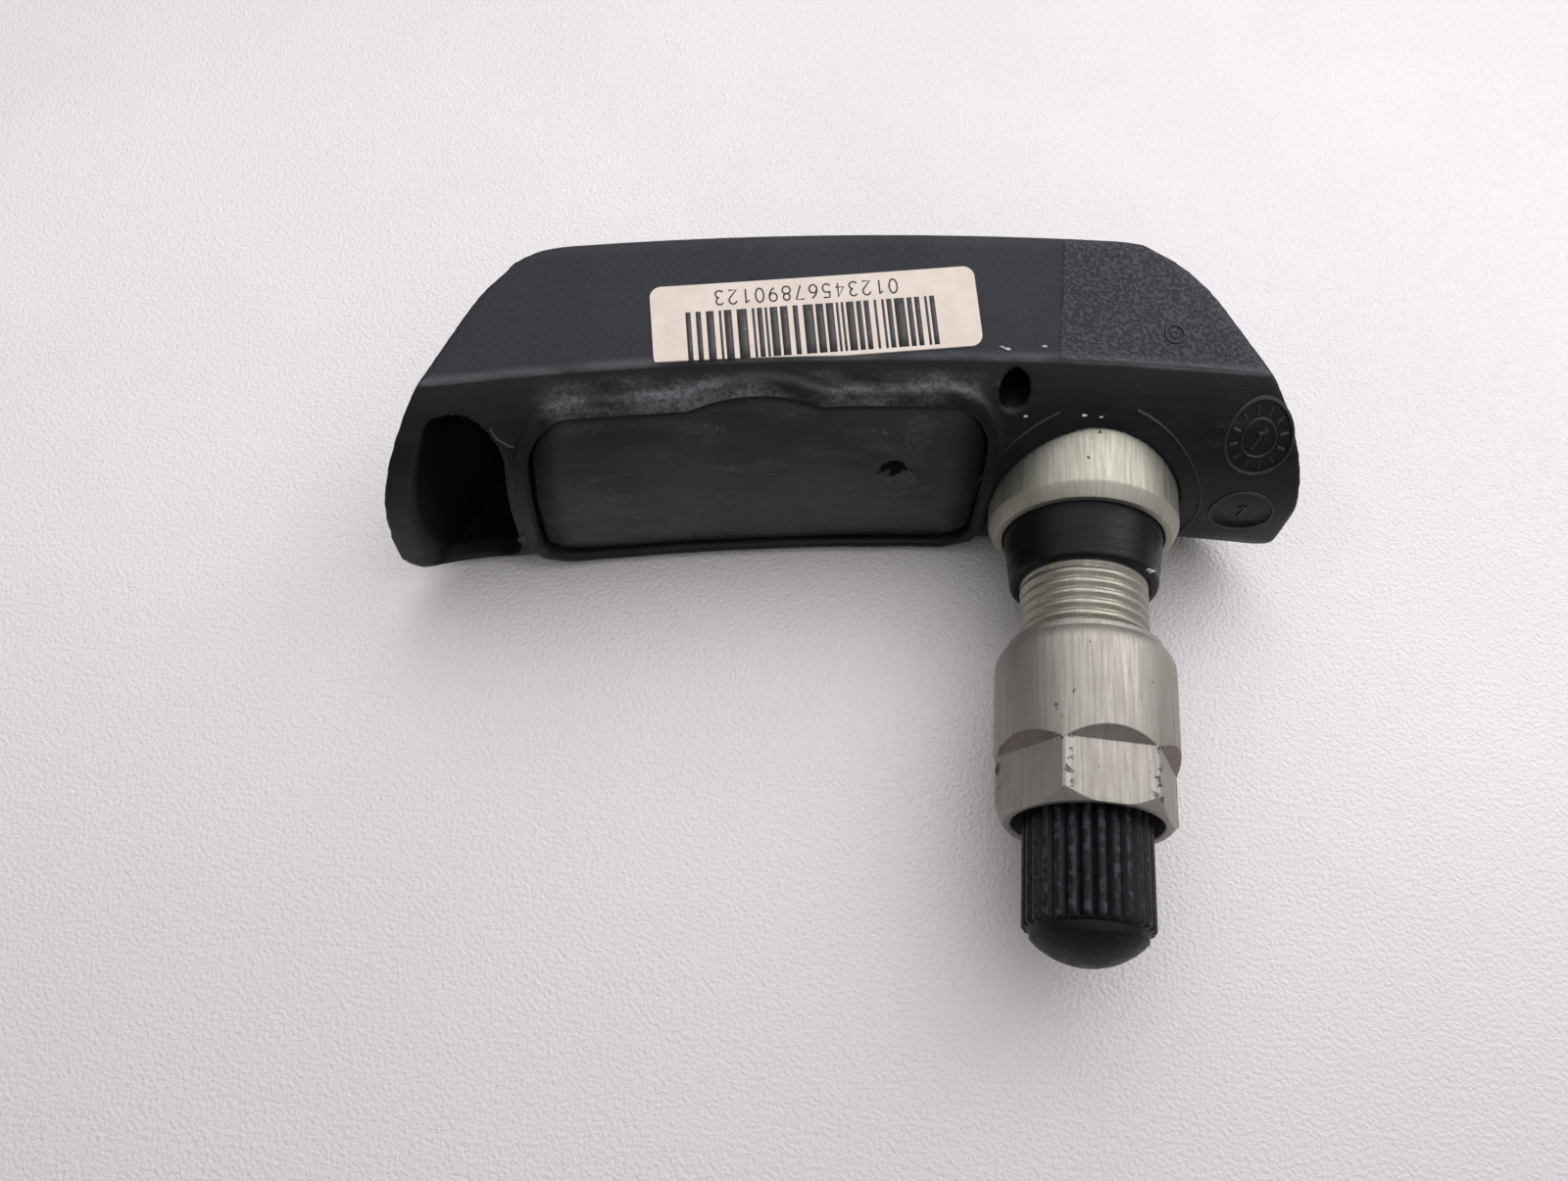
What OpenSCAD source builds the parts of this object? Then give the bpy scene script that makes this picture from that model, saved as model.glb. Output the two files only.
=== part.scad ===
// Tyre pressure sensor with a clamp-in valve, in millimetres.
// The valve axis runs along Y through the origin, and the cap points to -Y.
// Y = 0 is the front rim of the valve head, which seats on the wheel rim.
// The housing is swept round the wheel axis, which stands parallel to Z.

/* [Housing] */
// Radius of the concave front face about the wheel axis
rim_radius = 244.2; // [200:0.1:300]
// Distance from the front face to the back wall
housing_depth = 17.2; // [15:0.1:22]
// Radius of the crowned upper part of the front face
crown_radius = 13.5; // [12.5:0.1:18]
// Height of the front edge of the label face above the valve axis
top_height = 11.3; // [10.8:0.1:12.4]
// Depth of the flat underside below the valve axis
base_drop = 8.2; // [7.8:0.1:11]
// Slope of the label face towards the front, in degrees
label_slope = 11.6; // [6:0.1:14]
// Front face: distance from the valve axis to the left end
left_reach = 55.9; // [52:0.1:70]
// Front face: distance from the valve axis to the right end
right_reach = 17.2; // [14:0.1:24]
// Distance from the valve axis to the middle of the sweep
sweep_offset = 8.1; // [0:0.1:12]
// How far the left end wall leans in towards the back, in degrees
left_lean = 24; // [10:1:35]
// How far the right end wall leans in towards the back, in degrees
right_lean = 36; // [20:1:42]
// Corner radius between the left end wall and the back
left_corner = 13; // [5:0.5:14]
// Corner radius between the right end wall and the back
right_corner = 13; // [5:0.5:14]
// Rounding between the label face and the back wall
back_fillet = 1.4; // [0.6:0.1:2]
// Rounding of the lower front edge
base_round = 3.2; // [1:0.1:4]
// Rounding of the lower front edge beside the valve
lobe_round = 6; // [3:0.1:6.5]
// Rounding of the top edge of the end walls
end_top_round = 2; // [0.6:0.1:3]
// Rounding of the bottom edge of the end walls
end_base_round = 4.5; // [1:0.1:6]

/* [End pocket] */
// Width of the pocket's mouth
pocket_width = 8.1; // [6:0.1:9]
// Height of the pocket's crown above the valve axis
pocket_top = 9.6; // [8:0.1:9.8]
// Thickness of the wall left under the pocket
pocket_floor = 1.3; // [1:0.1:2.5]
// Thickness of the end wall beside the pocket
pocket_wall = 1.7; // [1:0.1:3]
// Thickness of the back wall behind the pocket
pocket_back = 2.6; // [1.5:0.1:5]
// Rounding of the pocket's lower corners
pocket_round = 3.2; // [1:0.1:3.6]

/* [Electronics bay] */
// Distance from the valve axis to the bay's left side
bay_left = 44.2; // [43.5:0.1:44.6]
// Distance from the valve axis to the bay's right side
bay_right = 8.7; // [8.5:0.1:9.2]
// Height of the bay's top side above the valve axis
bay_top = 8.9; // [8.4:0.1:9]
// Thickness of the wall under the bay
bay_floor = 1.6; // [1.2:0.1:1.8]
// Thickness of the wall behind the bay
bay_back = 1.8; // [1.4:0.1:2.2]
// Corner radius of the bay
bay_corner = 3; // [1.5:0.1:4]
// Height of the wave in the bay's top edge
wave_rise = 0.7; // [0.2:0.1:0.8]
// Half width of the wave
wave_half = 5; // [3:0.1:7]
// Distance from the valve axis to the wave's crest
wave_place = 27.1; // [20:0.1:34]
// How far the frame round the bay stands proud
frame_rise = 0.45; // [0.2:0.05:0.6]
// Width of that frame
frame_width = 1.1; // [0.6:0.1:1.4]
// How far the potting lies below the front face
fill_drop = 0.35; // [0.1:0.05:0.8]

/* [Electronics] */
// Length of the circuit board
board_length = 33; // [31:0.5:33.5]
// Height of the circuit board
board_height = 12.4; // [11:0.1:12.6]
// Thickness of the circuit board
board_thick = 1; // [0.6:0.1:1.2]
// Radius about the wheel axis at which the board's front lies
board_radius = 248; // [247.8:0.1:248.4]
// Diameter of the battery
cell_diameter = 9.4; // [8:0.1:9.6]
// Length of the battery
cell_length = 16; // [12:0.5:17]
// Thickness of the battery's solder tabs
tab_thick = 0.25; // [0.15:0.05:0.4]

/* [Valve stem] */
// Radius of the valve head
head_radius = 7.6; // [7.3:0.05:7.7]
// Radius of the head's front rim, at the end of its chamfer
head_rim_radius = 7; // [6.8:0.05:7.2]
// Length of the head's chamfer
head_chamfer = 1.15; // [0.4:0.05:2]
// Length of the head
head_length = 8.6; // [7.5:0.1:10]
// Radius of the cup in the head that holds the rubber
cup_radius = 6.4; // [6.1:0.05:6.6]
// Depth of that cup
cup_depth = 3.5; // [2:0.1:4.5]
// Outside radius of the stem's body thread
stem_radius = 5; // [4.9:0.05:5.1]
// Distance from the head's rim to the end of the body thread
stem_shoulder = 18.4; // [17.8:0.1:19]
// Outside radius of the cap thread
tip_radius = 3.85; // [3.6:0.05:3.9]
// Distance from the head's rim to the stem's tip
tip_reach = 30.6; // [29.5:0.1:31.5]
// Radius of the air bore
bore_radius = 1.5; // [1:0.05:1.6]

/* [Rubber and nut] */
// Radius of the rubber bush at its free end
bush_tip_radius = 5.83; // [5.5:0.01:6]
// Length of the bush outside the head
bush_reach = 4.38; // [3:0.01:5]
// Distance from the head's rim to the back of the nut
nut_start = 9.8; // [8.5:0.1:11]
// Length of the nut
nut_length = 14.1; // [13:0.1:15]
// Outside radius of the nut
nut_radius = 6.86; // [6.6:0.01:7.1]
// Distance across the nut's flats
nut_flats = 12; // [11.6:0.05:12.6]
// Length of the six-sided part
hex_length = 4.6; // [3.5:0.1:6]
// Length of the slanted run-out behind the flats
hex_runout = 1.2; // [0.6:0.1:1.6]
// Turn of the flats about the valve axis, in degrees
hex_turn = -5; // [-30:1:30]
// Radius of the nut's counterbore
nut_counterbore = 5.5; // [5.3:0.05:5.6]
// Depth of the nut's counterbore
counterbore_depth = 7.3; // [6:0.1:7.6]

/* [Cap] */
// Distance from the head's rim to the cap's open end
cap_start = 20.3; // [19.5:0.1:21]
// Thickness of the cap's closed end, with its dome
cap_crown = 2.4; // [2.2:0.1:3.4]
// Radius over the cap's ribs
cap_radius = 4.7; // [4.6:0.01:4.9]
// Height of the cap's ribs
rib_height = 0.32; // [0.1:0.01:0.4]
// Number of ribs
rib_count = 28; // [20:2:36]
// Radius of the neck below the dome
dome_radius = 4.15; // [4:0.01:4.3]
// Height of the dome
dome_height = 1.8; // [1:0.1:2.5]

/* [Valve core] */
// Outside radius of the core's threaded barrel
core_radius = 2.6; // [2.4:0.05:2.7]
// Length of the barrel's threaded part
core_thread = 5.2; // [4:0.1:6]
// Length of the whole barrel
core_length = 8.8; // [8.6:0.1:9]
// Radius of the core pin
pin_radius = 0.6; // [0.5:0.05:0.7]
// How far the pin opens when it is pressed
pin_travel = 1.2; // [0.8:0.1:1.4]

/* [Hidden] */
$fn = 96;
sweep_steps = 720;
far = 80;

// Sweep centre, in plan
front_reach = sqrt(pow(rim_radius, 2) - pow(sweep_offset, 2));
seat_front = 3.42;
sweep_x = sweep_offset;
sweep_y = seat_front - front_reach;
back_radius = rim_radius + housing_depth;

// Front face: upright below the valve axis, a crown above it
function face_r(z, inset = 0) = z <= 0 ? rim_radius + inset
    : rim_radius + crown_radius - sqrt(pow(crown_radius - inset, 2) - z * z);
function arc(c, r, from, to, n = 8) = [for (i = [0:n])
    let (a = from + (to - from) * i / n) [c[0] + r * cos(a), c[1] + r * sin(a)]];
crown_end = 180 - asin(top_height / crown_radius);
top_r = face_r(top_height);
function label_z(r) = top_height + tan(label_slope) * (r - top_r);
fillet_r = back_radius - back_fillet;
fillet_z = label_z(fillet_r + back_fillet * cos(90 + label_slope)) - back_fillet * cos(label_slope);
rear_round = 2.5;

// Plan: end walls that lean in, with a corner arc into the back wall
function wall_point(reach) = [reach, sweep_y + sqrt(pow(rim_radius, 2) - pow(reach - sweep_x, 2))];
function lean_dir(lean, side) = [-side * sin(lean), cos(lean)];
function inward(lean, side) = [-side * cos(lean), -sin(lean)];
function corner_centre(p, lean, side, r, limit) =
    let (q = p + r * inward(lean, side) - [sweep_x, sweep_y],
        d = lean_dir(lean, side),
        b = q * d,
        t = -b + sqrt(b * b - q * q + pow(limit - r, 2)))
    q + t * d + [sweep_x, sweep_y];
function heading(v) = atan2(v[1], v[0]);
left_front = wall_point(-left_reach);
right_front = wall_point(right_reach);

function plan_outline(inset, limit) =
    let (lf = left_front + inset * inward(left_lean, -1),
        rf = right_front + inset * inward(right_lean, 1),
        cl = corner_centre(lf, left_lean, -1, left_corner - inset, limit),
        cr = corner_centre(rf, right_lean, 1, right_corner - inset, limit),
        ol = heading(cl - [sweep_x, sweep_y]),
        or = heading(cr - [sweep_x, sweep_y]))
    concat([lf - 40 * lean_dir(left_lean, -1)],
        arc(cl, left_corner - inset, 180 - left_lean, ol),
        [[sweep_x, sweep_y] + (limit + 4) * [cos(ol), sin(ol)]],
        [[sweep_x, sweep_y] + (limit + 4) * [cos(or), sin(or)]],
        arc(cr, right_corner - inset, or, right_lean),
        [rf - 40 * lean_dir(right_lean, 1)]);
// Sweeps a section of (radius, height) points round the wheel axis
sweep_low = 90 - 8;
sweep_high = 90 + 20;
// The rounder lower edge begins behind the valve head, this many degrees past the middle
lobe_start = 0.5;
module sweep(from = sweep_low, to = sweep_high) {
    translate([sweep_x, sweep_y, 0])
        rotate([0, 0, from])
            rotate_extrude(angle = to - from, $fn = sweep_steps)
                children();
}

// Extrudes an outline of (x, z) points along Y
module along_y(from, to) {
    translate([0, to, 0])
        rotate([90, 0, 0])
            linear_extrude(to - from)
                children();
}

// Turns a profile of (radius, distance out from the head's rim) round the valve axis
module turned(points) {
    rotate([90, 0, 0])
        rotate_extrude()
            polygon(points);
}

module housing_section(lower_round) {
    polygon(concat(
        arc([rim_radius + lower_round, lower_round - base_drop], lower_round, 270, 180, 6),
        arc([rim_radius + crown_radius, 0], crown_radius, 180, crown_end, 12),
        arc([fillet_r, fillet_z], back_fillet, 90 + label_slope, 0, 5),
        arc([back_radius - rear_round, rear_round - base_drop], rear_round, 0, -90, 5)));
}

// A band behind the front face, from an inset to a radius
module face_band(inset, to_radius, low, high) {
    top = asin(high / (crown_radius - inset));
    polygon(concat(
        [[rim_radius + inset, low]],
        arc([rim_radius + crown_radius, 0], crown_radius - inset, 180, 180 - top, 12),
        [[to_radius, high], [to_radius, low]]));
}

// How far a rounding cutter reaches past the faces that it blends
cut_over = 0.02;

// Gives the lower front edge beside the valve its larger rounding
module lobe_cutter() {
    sweep(sweep_low - 1, 90 + lobe_start)
        polygon(concat(
            [[rim_radius - 2, -base_drop - 2], [rim_radius - 2, lobe_round - base_drop]],
            arc([rim_radius + lobe_round, lobe_round - base_drop], lobe_round + cut_over, 180, 270, 8),
            [[rim_radius + lobe_round, -base_drop - 2]]));
}

// Rounds an end wall's edge: the cutter lies along the leaning wall
module edge_cutter(at, lean, side, r, tilt, height, flip) {
    translate([at[0], at[1], height])
        rotate([90 + tilt, 0, side * lean])
            translate([0, 0, -30])
                linear_extrude(60)
                    mirror([side > 0 ? 1 : 0, 0])
                        mirror([0, flip ? 1 : 0])
                            difference() {
                                translate([-2, -r])
                                    square([r + 2, r + 3]);
                                translate([r, -r])
                                    circle(r + cut_over);
                            }
}

// Outline of the bay, in x and z, grown by a margin
module bay_outline(grow = 0) {
    r = bay_corner + grow;
    x0 = -bay_left - grow;
    x1 = -bay_right + grow;
    z0 = bay_floor - base_drop - grow;
    z1 = bay_top + grow;
    wave_r = (pow(wave_half, 2) + pow(wave_rise, 2)) / (2 * wave_rise);
    translate([x0 + r, z0])
        square([x1 - x0 - 2 * r, z1 - z0]);
    translate([x0, z0 + r])
        square([x1 - x0, z1 - z0 - 2 * r]);
    for (x = [x0 + r, x1 - r])
        for (z = [z0 + r, z1 - r])
            translate([x, z])
                circle(r, $fn = 48);
    intersection() {
        translate([-wave_place, z1 + wave_rise - wave_r])
            circle(wave_r);
        translate([-wave_place - wave_half - 1, 0])
            square([2 * wave_half + 2, z1 + 2]);
    }
}

bay_back_radius = back_radius - bay_back;
module bay_space(inset, grow = 0) {
    intersection() {
        sweep()
            face_band(inset, bay_back_radius, -base_drop - 1, top_height + 0.4);
        along_y(-20, 40)
            bay_outline(grow);
    }
}

module bay_frame() {
    intersection() {
        sweep()
            face_band(-frame_rise, rim_radius + 6, 0.6 - base_drop, bay_top + wave_rise + frame_width);
        along_y(-20, 20)
            bay_outline(frame_width);
    }
}

// The pocket follows the end wall, so that wall keeps one thickness
pocket_right = left_reach - pocket_wall - pocket_width;
module pocket() {
    mouth_left = -left_reach + pocket_wall - 0.4;
    r = pocket_width / 2;
    low = pocket_floor - base_drop;
    intersection() {
        along_y(-30, 40) {
            translate([-pocket_right - r, pocket_top - r])
                circle(r);
            translate([mouth_left, low + pocket_round])
                square([-pocket_right - mouth_left, pocket_top - r - low - pocket_round]);
            translate([mouth_left + pocket_round, low])
                square([-pocket_right - mouth_left - 2 * pocket_round, pocket_round + 1]);
            for (x = [mouth_left + pocket_round, -pocket_right - pocket_round])
                translate([x, low + pocket_round])
                    circle(pocket_round, $fn = 48);
        }
        translate([0, 0, -far / 2])
            linear_extrude(far)
                polygon(plan_outline(pocket_wall, back_radius));
        translate([sweep_x, sweep_y, -far / 2])
            cylinder(h = far, r = back_radius - pocket_back, $fn = sweep_steps);
    }
}

// Seat for the valve head, with the fixing screw's hole behind it
slip = 0.03;
seat_depth = head_length;
screw_radius = 2;
screw_head_radius = 3.1;
screw_head_height = 2.4;
screw_web = 3.2;
screw_head_place = seat_depth + screw_web;
port_radius = 1.15;
port_place = 7.2;
port_height = 9.6;
port_depth = 3;

// The seam of this turned cut lies below the axis, clear of the front face
module seat_space() {
    hole = screw_radius + 0.15;
    counterbore = screw_head_radius + 0.4;
    rotate([90, 0, 0])
        rotate([0, 0, 90])
            rotate_extrude()
                polygon([[0, 5], [head_radius + slip, 5], [head_radius + slip, -seat_depth],
                    [hole, -seat_depth], [hole, -screw_head_place],
                    [counterbore, -screw_head_place], [counterbore, -40], [0, -40]]);
}

module housing() {
    color("#26262a")
        difference() {
            union() {
                intersection() {
                    sweep()
                        housing_section(base_round);
                    translate([0, 0, -far / 2])
                        linear_extrude(far)
                            polygon(plan_outline(0, back_radius));
                }
                bay_frame();
            }
            edge_cutter(left_front, left_lean, -1, end_top_round, label_slope, top_height, false);
            edge_cutter(right_front, right_lean, 1, end_top_round, label_slope, top_height, false);
            edge_cutter(left_front, left_lean, -1, end_base_round, 0, -base_drop, true);
            edge_cutter(right_front, right_lean, 1, end_base_round, 0, -base_drop, true);
            lobe_cutter();
            pocket();
            bay_space(-2);
            seat_space();
            translate([-port_place, 0, port_height])
                rotate([-90, 0, 0])
                    cylinder(h = sqrt(pow(face_r(port_height), 2) - pow(port_place + sweep_x, 2)) + sweep_y + port_depth,
                        r = port_radius, $fn = 48);
        }
}

// The board's own frame: x along the board, y out from the wheel axis
board_turn = asin(((bay_left + bay_right) / 2 + sweep_x) / board_radius);
module on_board() {
    translate([sweep_x, sweep_y, 0])
        rotate([0, 0, board_turn])
            translate([0, board_radius, 0])
                children();
}
board_low = bay_floor - base_drop + 1;
board_top = board_low + board_height;
cell_gap = 0.4;
cell_place = bay_back_radius - board_radius - cell_diameter / 2 - cell_gap;
cell_z = board_low + board_height / 2;
cell_left = -9;
tab_height = 4;
coil_x = -13.2;
coil_wire = 2.1;
coil_core_r = 1.2;
coil_length = 8;
coil_flange = 0.8;
chip_x = 9.6;
chip_side = 5;
chip_height = 2.2;

module board_box(x, y, z, size) {
    on_board()
        translate([x, y, z])
            cube(size);
}

module circuit_board() {
    color("#1f5a38")
        board_box(-board_length / 2, 0, board_low, [board_length, board_thick, board_height]);
}

module sensor_chip() {
    color("#3a3a3c")
        board_box(chip_x, board_thick, cell_z - chip_side / 10, [chip_side, chip_height, chip_side]);
}

module rf_crystal() {
    color("#b8b8b4")
        board_box(chip_x, board_thick, board_low + 0.8, [3.2, 1.3, 2.5]);
}

module capacitor_front() {
    color("#8a6a4a")
        board_box(11, -0.9, board_low + 2, [1.6, 0.9, 0.8]);
}

module capacitor_rear() {
    color("#8a6a4a")
        board_box(chip_x + 4, board_thick, board_low + 1.2, [1.6, 0.9, 0.8]);
}

antenna_r = 0.35;
antenna_left = -8;
antenna_right = 14;
module antenna() {
    color("#b87333")
        on_board()
            translate([0, board_thick, board_top - 0.9]) {
                for (x = [antenna_left, antenna_right])
                    translate([x, 0, 0])
                        rotate([-90, 0, 0])
                            cylinder(h = 1.2, r = antenna_r, $fn = 24);
                translate([antenna_left - antenna_r, 1.2, -antenna_r])
                    cube([antenna_right - antenna_left + 2 * antenna_r, 0.4, 2 * antenna_r]);
            }
}

module coil_core() {
    color("#303034")
        on_board()
            translate([coil_x, board_thick + coil_wire, cell_z]) {
                translate([0, 0, -coil_length / 2])
                    cylinder(h = coil_length, r = coil_core_r, $fn = 32);
                for (z = [-coil_length / 2, coil_length / 2 - coil_flange])
                    translate([-coil_wire, -coil_wire, z])
                        cube([2 * coil_wire, 2 * coil_wire, coil_flange]);
            }
}

module coil_winding() {
    color("#b87333")
        on_board()
            translate([coil_x, board_thick + coil_wire, cell_z + coil_flange - coil_length / 2])
                difference() {
                    cylinder(h = coil_length - 2 * coil_flange, r = coil_wire - 0.1, $fn = 32);
                    translate([0, 0, -coil_flange])
                        cylinder(h = coil_length, r = coil_core_r, $fn = 32);
                }
}

module battery() {
    color("#b4b4b0")
        on_board()
            translate([cell_left, cell_place, cell_z])
                rotate([0, 90, 0])
                    cylinder(h = cell_length, r = cell_diameter / 2);
}

module battery_tab(x) {
    color("#c8c8c4")
        board_box(x, board_thick, cell_z - tab_height / 2, [tab_thick, cell_place + 1 - board_thick, tab_height]);
}

module battery_tab_left() {
    battery_tab(cell_left - tab_thick);
}

module battery_tab_right() {
    battery_tab(cell_left + cell_length);
}

module potting() {
    color("#34363a")
        difference() {
            bay_space(fill_drop);
            circuit_board();
            sensor_chip();
            rf_crystal();
            capacitor_front();
            capacitor_rear();
            antenna();
            coil_core();
            coil_winding();
            battery();
            battery_tab_left();
            battery_tab_right();
        }
}

label_length = 25.3;
label_width = 6.65;
label_thick = 0.12;
label_corner = 0.9;
label_x = -22.96;
label_y = 10.97;
label_turn = 10.2;
module label() {
    color("#decfc3")
        intersection() {
            sweep()
                polygon([[top_r, label_z(top_r)], [fillet_r, label_z(fillet_r)],
                    [fillet_r, label_z(fillet_r) + label_thick], [top_r, label_z(top_r) + label_thick]]);
            translate([label_x, label_y, 0])
                rotate([0, 0, label_turn])
                    linear_extrude(far / 2) {
                        square([label_length - 2 * label_corner, label_width], center = true);
                        square([label_length, label_width - 2 * label_corner], center = true);
                        for (x = [-1, 1])
                            for (y = [-1, 1])
                                translate([x * (label_length / 2 - label_corner), y * (label_width / 2 - label_corner)])
                                    circle(label_corner, $fn = 32);
                    }
        }
}

// Valve core places, as distances out from the head's rim
core_end = tip_reach - 0.4;
core_step = core_end - core_thread;
core_inner = core_end - core_length;
core_neck = 2;
chamber_step = core_step - 2;
chamber_end = core_inner - pin_travel - 1.4;
chamber_radius = core_neck + 0.15;
seal_thick = 0.7;
gasket_length = 1.4;
pin_hole = 0.9;
spring_radius = 1.25;
spring_end = core_step;

module valve_stem() {
    color("#aaa89e")
        turned([
            [bore_radius, -head_length + 5], [screw_radius + slip, -head_length + 5],
            [screw_radius + slip, -head_length],
            [head_radius - 0.4, -head_length], [head_radius, -head_length + 0.4],
            [head_radius, -head_chamfer], [head_rim_radius, 0], [cup_radius, 0],
            [cup_radius, -cup_depth], [stem_radius, -cup_depth],
            [stem_radius, stem_shoulder - 0.6], [stem_radius - 0.6, stem_shoulder],
            [tip_radius, stem_shoulder], [tip_radius, tip_reach - 0.4],
            [tip_radius - 0.4, tip_reach], [core_radius + slip, tip_reach],
            [core_radius + slip, chamber_step], [chamber_radius, chamber_step - 0.6],
            [chamber_radius, chamber_end], [bore_radius, chamber_end - 0.5]]);
}

module fixing_screw() {
    drive = 1.2;
    color("#8c8c88")
        difference() {
            turned([
                [0.8, 0.6 - seat_depth + 3.6], [screw_radius, 0.6 - seat_depth + 3.6],
                [screw_radius, -screw_head_place], [screw_head_radius, -screw_head_place],
                [screw_head_radius, 0.4 - screw_head_place - screw_head_height],
                [screw_head_radius - 0.4, -screw_head_place - screw_head_height],
                [0.8, -screw_head_place - screw_head_height]]);
            rotate([-90, 0, 0])
                translate([0, 0, screw_head_place + screw_head_height - drive])
                    cylinder(h = drive + 1, r = 1.5, $fn = 6);
        }
}

module rim_grommet() {
    color("#17181c")
        turned([
            [stem_radius + slip, -cup_depth], [cup_radius - slip, -cup_depth],
            [cup_radius - slip, -0.05], [cup_radius - 0.15, 0.1],
            [bush_tip_radius, bush_reach - 0.15], [bush_tip_radius - 0.15, bush_reach],
            [stem_radius + slip, bush_reach]]);
}

nut_end = nut_start + nut_length;
nut_bore = stem_radius + 0.05;
module union_nut() {
    shoulder = nut_radius - 0.95;
    flat = nut_flats / 2;
    hex_start = nut_end - hex_length;
    color("#aaa89e")
        difference() {
            turned(concat(
                [[nut_bore + 0.4, nut_start], [shoulder, nut_start]],
                arc([nut_radius - 2.2, nut_start + 2.2], 2.2, -55, 0, 6),
                [[nut_radius, nut_end - 0.5], [flat + 0.2, nut_end],
                    [nut_counterbore, nut_end], [nut_counterbore, nut_end - counterbore_depth],
                    [nut_bore, nut_end - counterbore_depth - 0.4], [nut_bore, nut_start + 0.4]]));
            for (i = [0:5])
                rotate([0, -hex_turn - i * 60, 0])
                    translate([-nut_radius, 0, 0])
                        rotate([90, 0, 90])
                            linear_extrude(2 * nut_radius)
                                polygon([[-hex_start + hex_runout, nut_radius + 0.2], [-hex_start, flat],
                                    [-nut_end - 1, flat], [-nut_end - 1, nut_radius + 1],
                                    [-hex_start + hex_runout, nut_radius + 1]]);
        }
}

module core_barrel() {
    color("#c0a050")
        turned([
            [spring_radius + 0.2, core_end], [core_radius - 0.3, core_end],
            [core_radius, core_end - 0.3], [core_radius, core_step],
            [core_neck, core_step - 0.3], [core_neck, core_inner],
            [pin_hole, core_inner], [pin_hole, core_step - 1.2], [spring_radius + 0.2, core_step - 1.2]]);
}

module core_gasket() {
    color("#b03a2a")
        turned([
            [core_neck + 0.02, core_step - 0.5], [core_radius - 0.1, core_step - 0.5],
            [chamber_radius + 0.12, core_step - 0.5 - gasket_length], [core_neck + 0.02, core_step - 0.5 - gasket_length]]);
}

module core_pin() {
    head = 1.1;
    color("#c8b070")
        turned([
            [0, tip_reach - 0.2], [head - 0.2, tip_reach - 0.2], [head, tip_reach - 0.4],
            [head, core_end - 0.5], [pin_radius, core_end - 0.5],
            [pin_radius, core_inner - seal_thick - 0.05], [pin_radius + 0.5, core_inner - seal_thick - 0.05],
            [pin_radius + 0.5, core_inner - seal_thick - 0.6], [0, core_inner - seal_thick - 0.6]]);
}

module core_seal() {
    color("#202022")
        turned([
            [pin_radius + 0.02, core_inner - 0.03], [chamber_radius - 0.35, core_inner - 0.03],
            [chamber_radius - 0.35, core_inner - seal_thick - 0.03], [pin_radius + 0.02, core_inner - seal_thick - 0.03]]);
}

// Helical wire between the pin's head and the barrel's inner shoulder
spring_turns = 4;
spring_wire = 0.18;
spring_low = core_step - 1.2 + spring_wire;
spring_high = core_end - 0.5 - spring_wire;
spring_mean = (pin_radius + spring_radius + 0.2) / 2;
function spring_point(i, j, n, m) =
    let (a = 360 * i / n, b = 360 * j / m,
        s = spring_low + (spring_high - spring_low) * i / (n * spring_turns),
        r = spring_mean + spring_wire * cos(b))
    [r * cos(a), -s + spring_wire * sin(b), r * sin(a)];
module core_spring() {
    n = 14;
    m = 6;
    rings = n * spring_turns;
    color("#a0a0a0")
        polyhedron(
            points = [for (i = [0:rings]) for (j = [0:m - 1]) spring_point(i, j, n, m)],
            faces = concat(
                [[for (j = [0:m - 1]) j]],
                [for (i = [0:rings - 1]) for (j = [0:m - 1])
                    [i * m + j, (i + 1) * m + j, (i + 1) * m + (j + 1) % m, i * m + (j + 1) % m]],
                [[for (j = [m - 1:-1:0]) rings * m + j]]));
}

cap_bore = tip_radius + 0.05;
cap_floor = tip_reach + 0.9;
cap_end = cap_floor + cap_crown;
rib_end = cap_end - dome_height - 0.6;
module dust_cap() {
    dome_r = (pow(dome_radius, 2) + pow(dome_height, 2)) / (2 * dome_height);
    dome_angle = asin(dome_radius / dome_r);
    color("#1c1d20")
        difference() {
            turned(concat(
                [[cap_bore + 0.3, cap_start], [cap_radius - 0.25, cap_start], [cap_radius, cap_start + 0.25],
                    [cap_radius, rib_end], [dome_radius, rib_end + 0.15]],
                arc([0, cap_end - dome_r], dome_r, 90 - dome_angle, 90, 6),
                [[0, cap_floor], [cap_bore, cap_floor], [cap_bore, cap_start + 0.3]]));
            for (i = [0:rib_count - 1])
                rotate([0, i * 360 / rib_count, 0])
                    translate([cap_radius + 0.12, 0.5 - cap_start, 0])
                        rotate([90, 0, 0])
                            cylinder(h = cap_end - cap_start, r = rib_height + 0.12, $fn = 16);
        }
}

module cap_seal() {
    color("#2a2a2c")
        turned([
            [0, tip_reach + 0.1], [cap_bore - 0.1, tip_reach + 0.1],
            [cap_bore - 0.1, cap_floor], [0, cap_floor]]);
}

housing();
potting();
label();
circuit_board();
sensor_chip();
rf_crystal();
capacitor_front();
capacitor_rear();
antenna();
coil_core();
coil_winding();
battery();
battery_tab_left();
battery_tab_right();
valve_stem();
fixing_screw();
rim_grommet();
union_nut();
core_barrel();
core_gasket();
core_pin();
core_seal();
core_spring();
dust_cap();
cap_seal();
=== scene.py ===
import math
import random
from functools import partial

import bmesh
import bpy
from mathutils import Matrix, Vector, bvhtree, noise


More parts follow.
